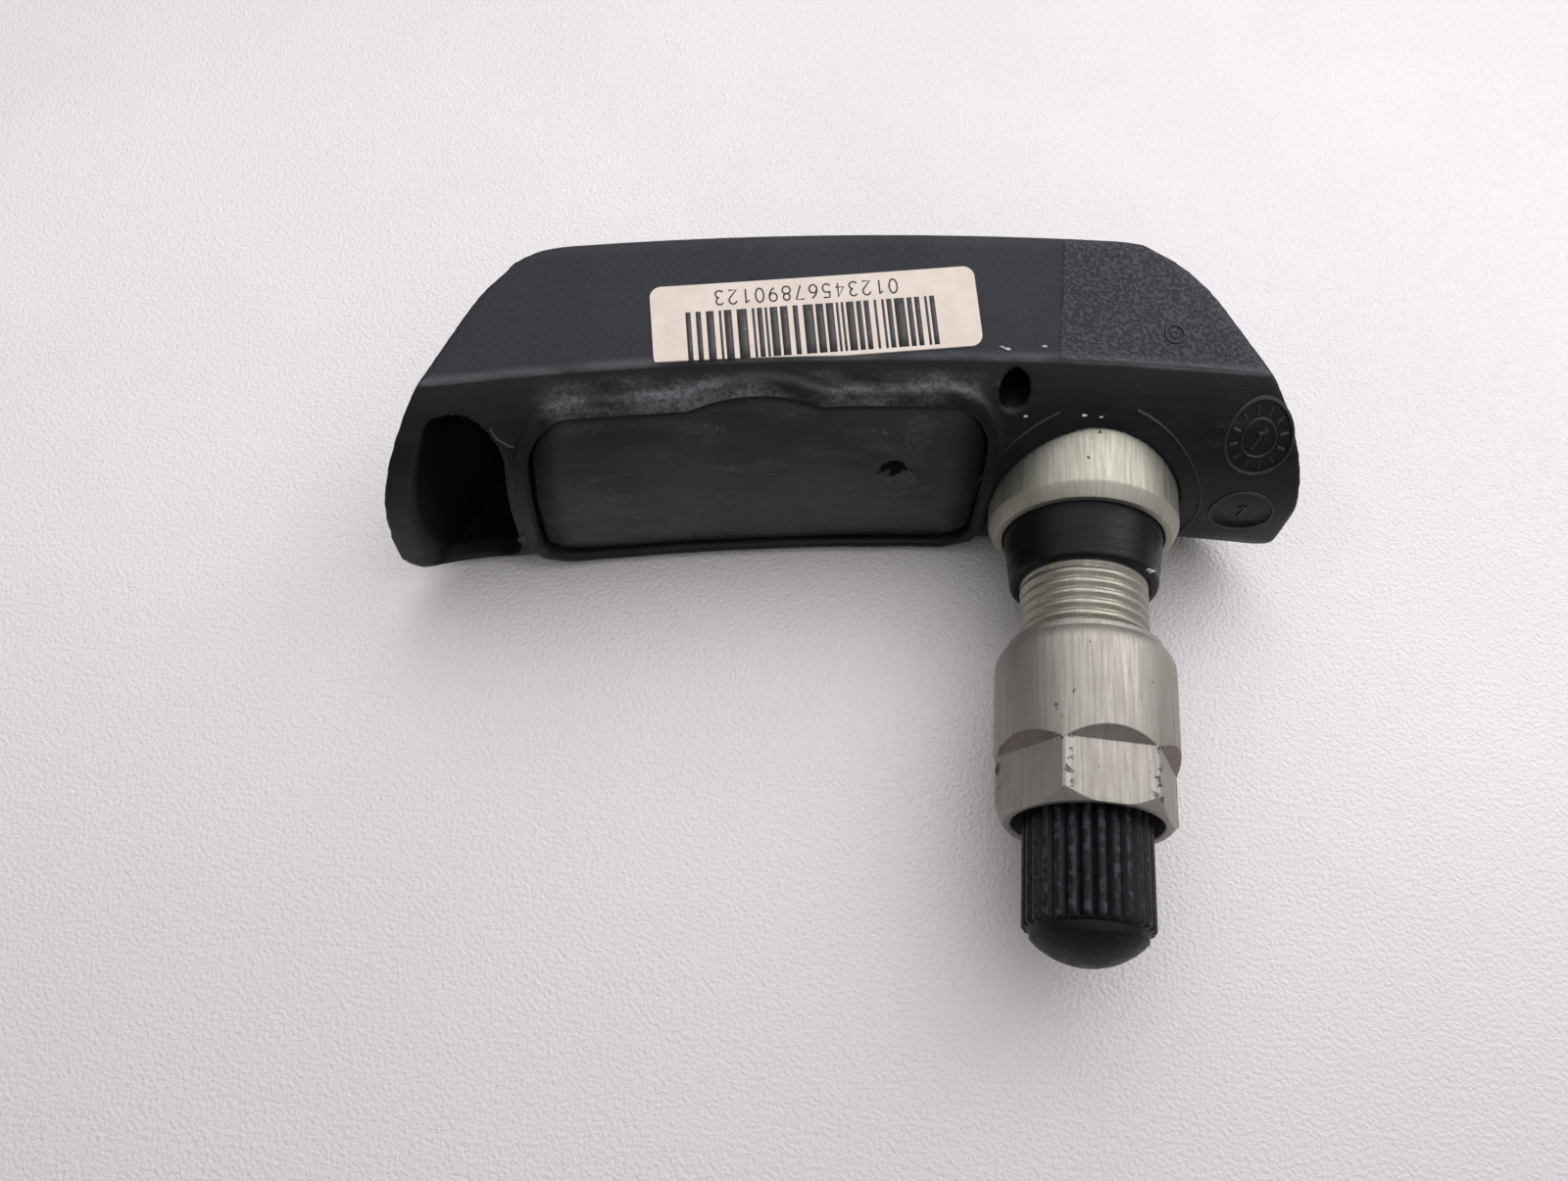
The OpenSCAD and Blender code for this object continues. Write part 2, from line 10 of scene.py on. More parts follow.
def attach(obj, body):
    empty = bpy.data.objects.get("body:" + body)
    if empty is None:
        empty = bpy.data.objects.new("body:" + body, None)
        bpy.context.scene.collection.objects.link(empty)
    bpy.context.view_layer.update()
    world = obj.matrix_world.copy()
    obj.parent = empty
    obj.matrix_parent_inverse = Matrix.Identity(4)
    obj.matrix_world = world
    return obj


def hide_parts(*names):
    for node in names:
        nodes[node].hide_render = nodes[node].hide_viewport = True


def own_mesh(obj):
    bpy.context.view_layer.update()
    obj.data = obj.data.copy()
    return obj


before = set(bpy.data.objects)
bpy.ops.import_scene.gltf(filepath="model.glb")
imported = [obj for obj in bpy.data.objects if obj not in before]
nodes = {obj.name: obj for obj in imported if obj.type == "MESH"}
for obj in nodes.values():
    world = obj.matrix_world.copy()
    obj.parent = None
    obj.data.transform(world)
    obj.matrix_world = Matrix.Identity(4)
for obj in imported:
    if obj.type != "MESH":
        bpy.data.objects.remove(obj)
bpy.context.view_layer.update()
mm = 0.001
print("frame loaded:", len(nodes), "nodes")


# ---- small helpers for meshes

def finishMesh(bm, name, material, smoothAngle=40):
    mesh = bpy.data.meshes.new(name)
    bmesh.ops.recalc_face_normals(bm, faces=bm.faces)
    bm.to_mesh(mesh)
    bm.free()
    mesh.materials.append(material)
    obj = bpy.data.objects.new(name, mesh)
    bpy.context.scene.collection.objects.link(obj)
    mesh.shade_smooth()
    if smoothAngle < 180:
        mesh.set_sharp_from_angle(angle=math.radians(smoothAngle))
    return obj


def dress(obj, body, slot, *replaced):
    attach(obj, body)
    if replaced:
        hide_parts(*replaced)


def turnedProfile(points, steps=96):
    # (radius, distance out from the head's rim) turned round the valve's axis, which runs along Y
    bm = bmesh.new()
    verts = [bm.verts.new((r * mm, -s * mm, 0)) for r, s in points]
    edges = [bm.edges.new(pair) for pair in zip(verts, verts[1:])]
    bmesh.ops.spin(bm, geom=verts + edges, cent=(0, 0, 0), axis=(0, 1, 0), dvec=(0, 0, 0),
                   angle=math.tau, steps=steps, use_merge=True, use_duplicate=False)
    bmesh.ops.remove_doubles(bm, verts=bm.verts, dist=1e-6)
    return bm


def closedTurning(points, steps=96):
    return turnedProfile(points + points[:1], steps)


def rows(radius, start, end, spacing):
    # points along a straight part of a turned profile
    count = max(1, round(abs(end - start) / spacing))
    return [(radius, start + (end - start) * i / count) for i in range(count + 1)]


def ovalPoints(cx, cy, rx, ry, start, end, count=12):
    return [(cx + rx * math.cos(math.radians(start + (end - start) * i / count)),
             cy + ry * math.sin(math.radians(start + (end - start) * i / count)))
            for i in range(count + 1)]


def arcPoints(centre, radius, start, end, count=6):
    return ovalPoints(*centre, radius, radius, start, end, count)


def smoothStep(value, low, high):
    t = max(0.0, min(1.0, (value - low) / (high - low)))
    return t * t * (3 - 2 * t)


def copyOfNode(name):
    bm = bmesh.new()
    bm.from_mesh(nodes[name].data)
    bmesh.ops.remove_doubles(bm, verts=bm.verts, dist=2e-6)
    return bm


def applied(obj):
    # turns the object's modifiers into plain mesh
    graph = bpy.context.evaluated_depsgraph_get()
    mesh = bpy.data.meshes.new_from_object(obj.evaluated_get(graph))
    obj.modifiers.clear()
    obj.vertex_groups.clear()
    obj.data = mesh
    mesh.name = obj.name
    mesh.shade_smooth()


def remeshed(bm, name, material, voxel, smoothing):
    obj = finishMesh(bm, name, material, 180)
    remesh = obj.modifiers.new("even skin", "REMESH")
    remesh.mode = "VOXEL"
    remesh.voxel_size = voxel
    smooth = obj.modifiers.new("soft edges", "SMOOTH")
    smooth.iterations = smoothing
    smooth.factor = 0.5
    applied(obj)
    return obj


def softened(obj, weightOf, rounds):
    # smooths some places more than the rest; weightOf gives 0 to 1 for a point in mm
    group = obj.vertex_groups.new(name="soft")
    for v in obj.data.vertices:
        weight = weightOf(v.co / mm)
        if weight > 0:
            group.add([v.index], weight, "REPLACE")
    smooth = obj.modifiers.new("softer here", "SMOOTH")
    smooth.iterations = rounds
    smooth.factor = 0.5
    smooth.vertex_group = "soft"
    applied(obj)


# ---- the housing's own shape, in mm, used to lay things on its faces

housingShape = {
    "sweepCentre": (8.1, -240.645),         # the wheel's axis in plan
    "faceRadius": 244.2,
    "crownRadius": 13.5,
    "crownLimit": 13.0,                     # the crown's curve is followed up to this height
    "topHeight": 11.3,
    "labelSlope": 11.6,                     # degrees
    "leftWall": ((-55.9, -4.98), 24, -1),   # a point on the wall, its lean in degrees, and its side
    "rightWall": ((17.2, 3.39), 36, 1),
    "port": (-7.2, 9.6, 1.15),              # small hole: place across and up, and radius
}
bay = {
    "middle": (-26.45, 1.15),    # across and up
    "half": (17.75, 7.75),       # half its width and height
    "corner": 3.0,
    "wave": (-27.1, 5, 0.7),     # in the top edge: place, half width and rise
    "waveFoot": 5,               # the wave is felt above this height
}


def faceRadius(z):
    s = housingShape
    if z <= 0:
        return s["faceRadius"]
    return s["faceRadius"] + s["crownRadius"] - math.sqrt(s["crownRadius"] ** 2 - z * z)


def frontPoint(x, z, lift=0.0):
    cx, cy = housingShape["sweepCentre"]
    r = faceRadius(min(z, housingShape["crownLimit"])) - lift
    return Vector((x, cy + math.sqrt(r * r - (x - cx) ** 2), z)) * mm


def labelPoint(x, y, lift=0.0):
    s = housingShape
    cx, cy = s["sweepCentre"]
    r = math.hypot(x - cx, y - cy)
    z = s["topHeight"] + math.tan(math.radians(s["labelSlope"])) * (r - faceRadius(s["topHeight"]))
    return Vector((x, y, z + lift)) * mm


def faceDepth(co):
    # a point's place across and up, and how deep it lies behind the saddle face, mm
    x, y, z = co.x / mm, co.y / mm, co.z / mm
    cx, cy = housingShape["sweepCentre"]
    return x, z, math.hypot(x - cx, y - cy) - faceRadius(min(z, housingShape["crownLimit"]))


def endWallDepth(co, wall):
    # how deep a point lies behind an end wall, mm
    (px, py), lean, side = wall
    a = math.radians(lean)
    return -side * (co.x - px) * math.cos(a) - (co.y - py) * math.sin(a)


def bayWave(x):
    place, half, rise = bay["wave"]
    return rise * max(0.0, 1 - ((x - place) / half) ** 2)


def bayDistance(x, z):
    # how far a point lies inside the bay's outline, mm
    (mx, mz), (halfWidth, halfHeight), corner = bay["middle"], bay["half"], bay["corner"]
    rise = bayWave(x) if z > bay["waveFoot"] else 0
    dx = abs(x - mx) - (halfWidth - corner)
    dz = (z - mz - rise if z > mz else mz - z) - (halfHeight - corner)
    outside = math.hypot(max(dx, 0), max(dz, 0)) + min(max(dx, dz), 0)
    return corner - outside


def pushAlongFace(v, amount):
    # moves a point away from the wheel's axis, which is into the housing, by an amount in mm
    cx, cy = housingShape["sweepCentre"]
    out = Vector((v.co.x - cx * mm, v.co.y - cy * mm, 0)).normalized()
    v.co += out * amount * mm


def stripOn(bm, surface, points, width, low, high, crest=1.0):
    # a thin raised line along a row of points, laid on a face; crest narrows its top
    rings = []
    for i, (u, v) in enumerate(points):
        a, b = points[max(i - 1, 0)], points[min(i + 1, len(points) - 1)]
        length = math.hypot(b[0] - a[0], b[1] - a[1]) or 1
        nu, nv = (a[1] - b[1]) / length * width / 2, (b[0] - a[0]) / length * width / 2
        corners = [bm.verts.new(surface(u + side * nu, v + side * nv, lift))
                   for side, lift in ((-1, low), (1, low), (crest, high), (-crest, high))]
        rings.append([bm.edges.new(pair) for pair in zip(corners, corners[1:] + corners[:1])])
    for a, b in zip(rings, rings[1:]):
        bmesh.ops.bridge_loops(bm, edges=a + b)
    for ring in (rings[0], rings[-1]):
        bmesh.ops.contextual_create(bm, geom=ring)


# ---- small helpers for materials

def linearColour(hexCode, share=1.0):
    # share darkens the colour
    parts = [int(hexCode[i:i + 2], 16) / 255 for i in (1, 3, 5)]
    linear = [c / 12.92 if c <= 0.04045 else ((c + 0.055) / 1.055) ** 2.4 for c in parts]
    return tuple(c * share for c in linear) + (1.0,)


def plugIn(node, inputs):
    # gives inputs a value, or the node or socket that feeds them, by name or in order of those in use
    if isinstance(inputs, dict):
        pairs = [(node.inputs[name], source) for name, source in inputs.items()]
    else:
        pairs = zip([socket for socket in node.inputs if socket.enabled], inputs)
    for socket, source in pairs:
        if isinstance(source, bpy.types.Node):
            source = next(output for output in source.outputs if output.enabled)
        if isinstance(source, bpy.types.NodeSocket):
            node.id_data.links.new(source, socket)
        else:
            socket.default_value = source


def addNode(tree, kind, inputs=(), **settings):
    node = tree.nodes.new("ShaderNode" + kind)
    for name, value in settings.items():
        setattr(node, name, value)
    plugIn(node, inputs)
    return node


def newMaterial(name, colour, roughness, metallic=0.0, ior=1.5):
    # gives the material, a function that adds nodes to it, its shader, and the place on the piece
    material = bpy.data.materials.new(name)
    material.use_nodes = True
    material.diffuse_color = linearColour(colour)
    shader = material.node_tree.nodes["Principled BSDF"]
    plugIn(shader, {"Base Color": linearColour(colour), "Roughness": roughness, "Metallic": metallic, "IOR": ior})
    add = partial(addNode, material.node_tree)
    return material, add, shader, add("TexCoord").outputs["Object"]


rgba = {"data_type": "RGBA"}                       # a Mix node of two colours
soft = {"interpolation_type": "SMOOTHSTEP"}        # a Map Range that eases in and out


def product(add, *parts):
    # masks and strengths multiplied together
    whole = parts[0]
    for part in parts[1:]:
        whole = add("Math", (whole, part), operation="MULTIPLY")
    return whole


def total(add, *parts):
    whole = parts[0]
    for part in parts[1:]:
        whole = add("Math", (whole, part), operation="ADD")
    return whole


def within(add, source, start, full, fading, end):
    # a mask over a stretch in mm, soft at both ends
    return product(add, add("MapRange", (source, start * mm, full * mm), **soft),
                   add("MapRange", (source, end * mm, fading * mm), **soft))


def awayFrom(add, source, place):
    # distance from a place in mm, on either side
    return add("Math", [total(add, source, -place * mm)], operation="ABSOLUTE")


def fromAxis(add, a, b):
    # the root of a squared plus b squared
    return add("Math", [total(add, product(add, a, a), product(add, b, b))], operation="SQRT")


def mottle(add, place, size, detail=3.0, stretch=(1, 1, 1), roughness=0.55):
    # an uneven pattern with blotches about size mm across
    stretched = add("Mapping", {"Vector": place, "Scale": stretch})
    return add("TexNoise", {"Vector": stretched, "Scale": 1 / (size * mm), "Detail": detail, "Roughness": roughness})


def twoTone(add, pattern, low, high, first, second):
    # two shades spread by a pattern
    share = add("MapRange", (pattern, low, high), **soft)
    return add("Mix", (share, linearColour(first), linearColour(second)), **rgba)


# ---- materials

def glassFilledNylon():
    # glass-filled nylon, moulded: dull black, with a finer insert on most of the label face and coarse
    # spark-eroded grain beside it; the upward faces are painted lighter as light from above, and the pocket and port
    # are painted darker as shade
    material, add, shader, place = newMaterial("glassFilledNylon", "#1b1c21", 0.5, 0.0, 1.42)
    x, y, z = add("SeparateXYZ", [place]).outputs
    facing = add("SeparateXYZ", [add("TexCoord").outputs["Normal"]]).outputs
    insertEdge = -4.1     # where the insert ends across the label face, mm
    top = product(add, add("MapRange", (facing[2], 0.88, 0.96), **soft),
                  add("MapRange", (z, 10.9 * mm, 11.2 * mm), **soft))
    front = add("MapRange", (facing[1], -0.3, -0.5), **soft)
    coarse = product(add, top, add("MapRange", (x, (insertEdge - 0.2) * mm, (insertEdge + 0.2) * mm), **soft))
    grain = mottle(add, place, 0.3, 2.0)
    fine = mottle(add, place, 0.17, 2.0)        # moulded skin, drawn coarser than real
    blotch = mottle(add, place, 9, 4.0)
    smear = mottle(add, place, 2.6, 6.0, (0.4, 1, 1), 0.62)
    base = twoTone(add, blotch, 0.35, 0.68, "#0a0b0f", "#121318")
    # the faces that look up, the label face, get a far lighter tone than the front faces: painted light from above,
    # laid over the finer moulded skin
    topToneWithPaintedLight = twoTone(add, fine, 0.3, 0.75, "#202127", "#2e2f36")
    tone = add("Mix", (top, base, topToneWithPaintedLight), **rgba)
    speck = product(add, add("MapRange", (grain, 0.44, 0.64), **soft), coarse, 0.7)
    tone = add("Mix", (speck, tone, linearColour("#4c4d54")), **rgba)

    # depth behind the saddle face, and behind the left end wall
    cx, cy = housingShape["sweepCentre"]
    fromWheel = fromAxis(add, total(add, x, -cx * mm), total(add, y, -cy * mm))
    crown = add("Math", (product(add, z, z), 2 * housingShape["crownRadius"] * mm), operation="DIVIDE")
    depth = add("Math", (fromWheel, total(add, crown, housingShape["faceRadius"] * mm)), operation="SUBTRACT")
    (wx, wy), lean, side = housingShape["leftWall"]
    wall = total(add, product(add, total(add, x, -wx * mm), -side * math.cos(math.radians(lean))),
                 product(add, total(add, y, -wy * mm), -math.sin(math.radians(lean))))

    # dried road dust and painted sheen: a pale band over the bay's frame, partly dust and partly painted sheen where
    # the frame faces the light, and thin dust smears elsewhere on the front
    dustAndSheenBand = product(add, within(add, z, 8.4, 9.3, 10.3, 11.0), within(add, x, -44.5, -41, -11, -9),
                   add("MapRange", (depth, 3.0 * mm, 2.0 * mm), **soft), 0.5)
    paleShare = product(add, add("MapRange", (smear, 0.36, 0.66), **soft), total(add, dustAndSheenBand, 0.03))
    thin = product(add, add("MapRange", (smear, 0.58, 0.8), **soft), front, 0.2)
    offTop = add("Math", (1.0, top), operation="SUBTRACT")
    broken = add("MapRange", (mottle(add, place, 0.35, 4.0, (1, 1, 1), 0.7), 0.35, 0.6, 0.35, 1.15), **soft)
    paleOverlay = product(add, add("Math", (paleShare, thin), operation="MAXIMUM"), offTop, broken)
    # the label face's front edge is painted a little paler: partly rubbed wear, partly a painted highlight on the edge
    creaseWearAndHighlight = product(add, add("MapRange", (awayFrom(add, z, 11.25), 0.2 * mm, 0.04 * mm), **soft),
                     add("MapRange", (smear, 0.3, 0.6, 0.08, 0.4), **soft),
                     add("MapRange", (facing[1], -0.1, -0.2), **soft))
    paleOverlay = add("Math", (paleOverlay, creaseWearAndHighlight), operation="MAXIMUM")
    # pale overlay: dust, with painted sheen over the frame band and a painted highlight along the front edge
    tone = add("Mix", (paleOverlay, tone, linearColour("#76767a")), **rgba)

    # painted shade: inside the end pocket and the small port the face is painted near black, with less gloss
    pocket = product(add, add("MapRange", (x, -45.4 * mm, -46.2 * mm), **soft), within(add, z, -7.7, -7.3, 9.55, 9.75),
                     within(add, depth, 0.45, 1.1, 15.4, 16.0), add("MapRange", (wall, 0.9 * mm, 1.3 * mm), **soft))
    px, pz, portRadius = housingShape["port"]
    fromPort = fromAxis(add, total(add, x, -px * mm), total(add, z, -pz * mm))
    port = product(add, add("MapRange", (fromPort, (portRadius + 0.15) * mm, portRadius * mm), **soft),
                   within(add, depth, 0.5, 1.0, 4, 5))
    hollowShade = add("Math", (pocket, port), operation="MAXIMUM")
    hollowShadeTone = twoTone(add, depth, 3 * mm, 9 * mm, "#090a0e", "#22242b")
    tone = add("Mix", (product(add, hollowShade, 0.9), tone, hollowShadeTone), **rgba)

    seamLine = add("MapRange", (awayFrom(add, x, insertEdge), 0.04 * mm, 0.12 * mm, 1.0, 0.0), **soft)
    height = total(add, product(add, fine, 0.035), product(add, grain, coarse, 0.12),
                   product(add, seamLine, top, -0.06))
    plugIn(shader, {
        "Base Color": tone,
        "Specular IOR Level": add("MapRange", (hollowShade, 0.0, 1.0, 0.34, 0.12), **soft),
        "Roughness": total(add, add("MapRange", (blotch, 0.3, 0.7, 0.4, 0.52), **soft),
                           product(add, top, 0.1), product(add, paleOverlay, 0.3)),
        "Normal": add("Bump", {"Height": height, "Distance": 1.0 * mm}),
    })
    return material


def pottingResin():
    # two-part potting compound, poured and cured: dark grey, half dull, mottled where it was wiped,
    # torn open at one spot; painted shade along its sides and foot and in the tear
    material, add, shader, place = newMaterial("pottingResin", "#27282b", 0.5, 0.0, 1.45)
    x, _, z = add("SeparateXYZ", [place]).outputs
    clouds = mottle(add, place, 6, 5.0, (0.7, 1, 1))
    streak = mottle(add, place, 2.2, 6.0, (0.3, 1, 1.3), 0.6)
    pores = mottle(add, place, 0.4, 3.0)

    def distance(px, pz, squash=1.0):
        return fromAxis(add, product(add, total(add, x, -px * mm), squash), total(add, z, -pz * mm))

    tone = twoTone(add, clouds, 0.35, 0.65, "#1f2023", "#2b2c2e")
    tone = add("Mix", (add("MapRange", (streak, 0.52, 0.75, 0.0, 0.5), **soft), tone, linearColour("#4a4b4c")), **rgba)
    speckle = product(add, add("MapRange", (pores, 0.6, 0.72), **soft),
                      add("MapRange", (streak, 0.45, 0.6), **soft), 0.4)
    tone = add("Mix", (speckle, tone, linearColour("#6a6a6b")), **rgba)
    # painted shade: darker along its sides and its foot, where the bay's edges shade it
    sides = total(add, awayFrom(add, x, bay["middle"][0]), product(add, clouds, 2 * mm))
    foot = total(add, z, product(add, clouds, 3 * mm))
    rim = add("Math", (add("MapRange", (sides, 15.6 * mm, 18.4 * mm), **soft),
                       add("MapRange", (foot, -1.6 * mm, -4.4 * mm), **soft)), operation="MAXIMUM")
    tone = add("Mix", (product(add, rim, 0.85), tone, linearColour("#0c0d12")), **rgba)
    # a darker oval patch under the frame's top
    darkOval = product(add, add("MapRange", (distance(-36.9, 7.25, 0.16), 0.8 * mm, 0.35 * mm), **soft),
                    add("MapRange", (streak, 0.35, 0.55, 0.3, 0.9), **soft))
    tone = add("Mix", (darkOval, tone, linearColour("#17181c")), **rgba)
    # round dabs where the vents were closed, a scratch, and the tear beside the dabs, painted near black as painted
    # shade in its pit
    dabs = add("Math", (add("MapRange", (distance(-14.2, 6.75, 1.15), 1.45 * mm, 1.15 * mm), **soft),
                        add("MapRange", (distance(-15.4, 2.7), 1.75 * mm, 1.45 * mm), **soft)), operation="MAXIMUM")
    dabMarks = product(add, dabs, add("MapRange", (pores, 0.35, 0.65, 0.1, 0.6), **soft))
    tone = add("Mix", (dabMarks, tone, linearColour("#3c3d3f")), **rgba)
    scratch = awayFrom(add, total(add, z, product(add, clouds, 0.6 * mm)), 3.75)
    scratch = product(add, add("MapRange", (scratch, 0.09 * mm, 0.02 * mm), **soft),
                      add("MapRange", (awayFrom(add, x, -27), 5.5 * mm, 3.5 * mm), **soft),
                      add("MapRange", (pores, 0.4, 0.6, 0.2, 0.9), **soft))
    tone = add("Mix", (scratch, tone, linearColour("#101114")), **rgba)
    jag = product(add, mottle(add, place, 0.7, 4.0, (1, 1, 1), 0.7), 1.9 * mm)
    tear = add("MapRange", (total(add, distance(-15.84, 4.14, 0.62), jag), 1.7 * mm, 1.5 * mm), **soft)
    tone = add("Mix", (tear, tone, linearColour("#050506")), **rgba)
    paintedShade = add("Math", (rim, tear), operation="MAXIMUM")
    height = total(add, product(add, clouds, 0.2), product(add, pores, total(add, product(add, dabs, 0.12), 0.035)),
                   product(add, streak, 0.08), product(add, tear, -0.35))
    plugIn(shader, {
        "Base Color": tone,
        "Roughness": total(add, add("MapRange", (streak, 0.3, 0.75, 0.4, 0.56), **soft), product(add, tear, 0.3)),
        "Specular IOR Level": add("MapRange", (paintedShade, 0.0, 1.0, 0.45, 0.15), **soft),
        "Normal": add("Bump", {"Height": height, "Distance": 1.0 * mm, "Strength": 0.8}),
    })
    return material


def labelPaper():
    # coated paper sticker: cream, smooth, a little grey in spots from handling
    material, add, shader, place = newMaterial("labelPaper", "#decfc3", 0.45)
    fibre = mottle(add, place, 1.5, 4.0)
    grime = mottle(add, place, 0.5, 4.0)
    paper = twoTone(add, fibre, 0.3, 0.7, "#dacbc0", "#e3d5ca")
    tone = add("Mix", (add("MapRange", (grime, 0.66, 0.8, 0.0, 0.3), **soft), paper, linearColour("#a89a90")), **rgba)
    plugIn(shader, {"Base Color": tone, "Normal": add("Bump", {"Height": fibre, "Distance": 0.01 * mm})})
    return material


def printInk():
    # thermal-transfer ink: flat dark brown-grey, worn thin in spots
    material, add, shader, place = newMaterial("printInk", "#3f3a3b", 0.5)
    patch = mottle(add, place, 0.3, 3.0)
    plugIn(shader, {"Base Color": twoTone(add, patch, 0.22, 0.36, "#7d726e", "#363233")})
    return material


def turnedAluminium(name, tint, roughness, milled=False):
    # plain aluminium, turned, dull satin, slightly warm, with fine tool lines, pits and handling scuffs
    material, add, shader, place = newMaterial(name, tint, roughness, 1.0)
    x, y, z = add("SeparateXYZ", [place]).outputs
    radius = fromAxis(add, x, z)
    # the surface unrolled: round the axis, along it and out from it
    around = product(add, add("Math", (z, x), operation="ARCTAN2"), 6 * mm)
    unrolled = add("CombineXYZ", (around, y, radius))
    streaks = mottle(add, unrolled, 0.22, 4.0, (1, 0.05, 0.3))     # tool lines, drawn wider than real
    broad = mottle(add, unrolled, 2.2, 3.0, (1, 0.05, 0.3))
    cloud = mottle(add, place, 3.5, 4.0)
    scuff = mottle(add, place, 0.9, 5.0, (1, 0.6, 1))
    grime = mottle(add, place, 0.4, 5.0)
    light, dark = linearColour(tint), linearColour(tint, 0.74)
    tone = add("Mix", (add("MapRange", (streaks, 0.3, 0.7, 0.0, 0.5), **soft), light, dark), **rgba)
    tone = add("Mix", (add("MapRange", (broad, 0.4, 0.7, 0.0, 0.3), **soft), tone, dark), **rgba)
    tone = add("Mix", (add("MapRange", (cloud, 0.45, 0.7, 0.0, 0.3), **soft), tone, linearColour("#8f8a80")), **rgba)
    pits = product(add, add("MapRange", (scuff, 0.66, 0.72), **soft), add("MapRange", (grime, 0.52, 0.6), **soft))
    if milled:
        # the slanted run-outs behind the flats are drawn darker, and the hexagon's corners are chipped
        runout = product(add, within(add, y, -19.42, -19.3, -18.1, -17.9),
                         add("MapRange", (radius, 6.84 * mm, 6.78 * mm), **soft), 0.7)
        tone = add("Mix", (runout, tone, linearColour("#6b625f")), **rgba)
        chips = product(add, add("MapRange", (radius, 6.5 * mm, 6.78 * mm), **soft),
                        add("MapRange", (y, -18.6 * mm, -19.4 * mm), **soft),
                        add("MapRange", (mottle(add, place, 0.8, 5.0), 0.53, 0.58), **soft))
        pits = add("Math", (pits, chips), operation="MAXIMUM")
    tone = add("Mix", (product(add, pits, 0.8), tone, linearColour("#3f3b38")), **rgba)
    height = total(add, product(add, streaks, 0.022), product(add, pits, -0.05))
    plugIn(shader, {
        "Base Color": tone,
        "Roughness": add("MapRange", (streaks, 0.2, 0.8, roughness - 0.08, roughness + 0.1), **soft),
        "Normal": add("Bump", {"Height": height, "Distance": 1.0 * mm}),
    })
    return material


def bushRubber():
    # EPDM rubber, moulded: bluish black with a soft sheen and faint turned lines
    material, add, shader, place = newMaterial("bushRubber", "#101115", 0.42, 0.0, 1.4)
    lines = mottle(add, place, 0.3, 3.0, (0.08, 1, 0.08))
    skin = mottle(add, place, 1.8, 4.0)
    plugIn(shader, {
        "Base Color": twoTone(add, skin, 0.35, 0.7, "#090a0e", "#101117"),
        "Roughness": add("MapRange", (lines, 0.3, 0.7, 0.3, 0.46), **soft),
        "Normal": add("Bump", {"Height": lines, "Distance": 0.02 * mm}),
        "Specular IOR Level": 0.28,
    })
    return material


def capPlastic():
    # polypropylene, moulded: black, half dull, with a little dust; its ribs' crests are paler, partly wear and partly
    # painted highlight
    material, add, shader, place = newMaterial("capPlastic", "#141519", 0.45, 0.0, 1.42)
    skin = mottle(add, place, 0.7, 5.0)
    paleOverlay = mottle(add, place, 1.6, 4.0, (1, 0.3, 1))
    x, _, z = add("SeparateXYZ", [place]).outputs
    paleShare = add("MapRange", (paleOverlay, 0.55, 0.75, 0.0, 0.4), **soft)
    tone = add("Mix", (paleShare, linearColour("#0b0c10"), linearColour("#22242b")), **rgba)
    # the ribs' crests are painted paler in patches: partly rubbed wear, partly painted highlight
    crestWearAndHighlight = product(add, add("MapRange", (fromAxis(add, x, z), 4.6 * mm, 4.68 * mm), **soft),
                     add("MapRange", (skin, 0.46, 0.64, 0.0, 0.8), **soft))
    plugIn(shader, {
        "Base Color": add("Mix", (crestWearAndHighlight, tone, linearColour("#3a3d46")), **rgba),
        "Roughness": add("MapRange", (skin, 0.3, 0.7, 0.38, 0.55), **soft),
        "Normal": add("Bump", {"Height": skin, "Distance": 0.05 * mm}),
        "Specular IOR Level": 0.26,
    })
    return material


def plainFinish(name, colour, roughness, metallic=0.0, patternSize=1.0, depth=0.02):
    # a quiet, slightly uneven finish for inner pieces and small marks; sizes in mm
    material, add, shader, place = newMaterial(name, colour, roughness, metallic)
    pattern = mottle(add, place, patternSize, 4.0)
    share = add("MapRange", (pattern, 0.3, 0.7), **soft)
    plugIn(shader, {
        "Base Color": add("Mix", (share, linearColour(colour, 0.75), linearColour(colour)), **rgba),
        "Normal": add("Bump", {"Height": pattern, "Distance": depth * mm}),
    })
    return material


nylon = glassFilledNylon()
resin = pottingResin()
paper = labelPaper()
ink = printInk()
stemMetal = turnedAluminium("turnedAluminium", "#b3b0a4", 0.52)
nutMetal = turnedAluminium("milledAluminium", "#aaa59e", 0.56, milled=True)
rubber = bushRubber()
polypropylene = capPlastic()
print("materials made")


# ---- housing

housing = {
    "voxel": 0.16 * mm,
    "smoothing": 8,
    "endSmoothing": 60,
    "frameSmoothing": 34,
    "leftFade": (1.2, 0.7),          # depths behind an end wall over which it grows soft, mm
    "rightFade": (2.6, 1.4),
    "footHeights": (-5.8, -7.2),     # the front's lower edge is softened between these heights
    "footDepths": (3.5, 2.0),
    "footShare": 0.85,
    "frameLine": 0.55,               # the frame's middle runs this far outside the bay
    "frameFade": (1.7, 0.8),
    "frameDepth": 1.2,
    "frameTop": (6.5, 8.0),
    "frameEnd": 10.9,
    "relief": 0.7,                   # how deep the relief of the front reaches
    "recessEdge": 0.12,
    "dial": (12.1, 7.65, 2.5, 0.2),  # recess: place across and up, radius and depth, mm
    "cavity": (12.7, 0.8, 2.4, 0.3),
    "cavityTilt": 0.85,              # share of the recess's depth that is lost towards its top
    "waves": (0.05, 3.5, 2.5, 7.7),  # height, lengths across and up, and noise seed
    "keep": 0.22,                    # share of the faces kept
}


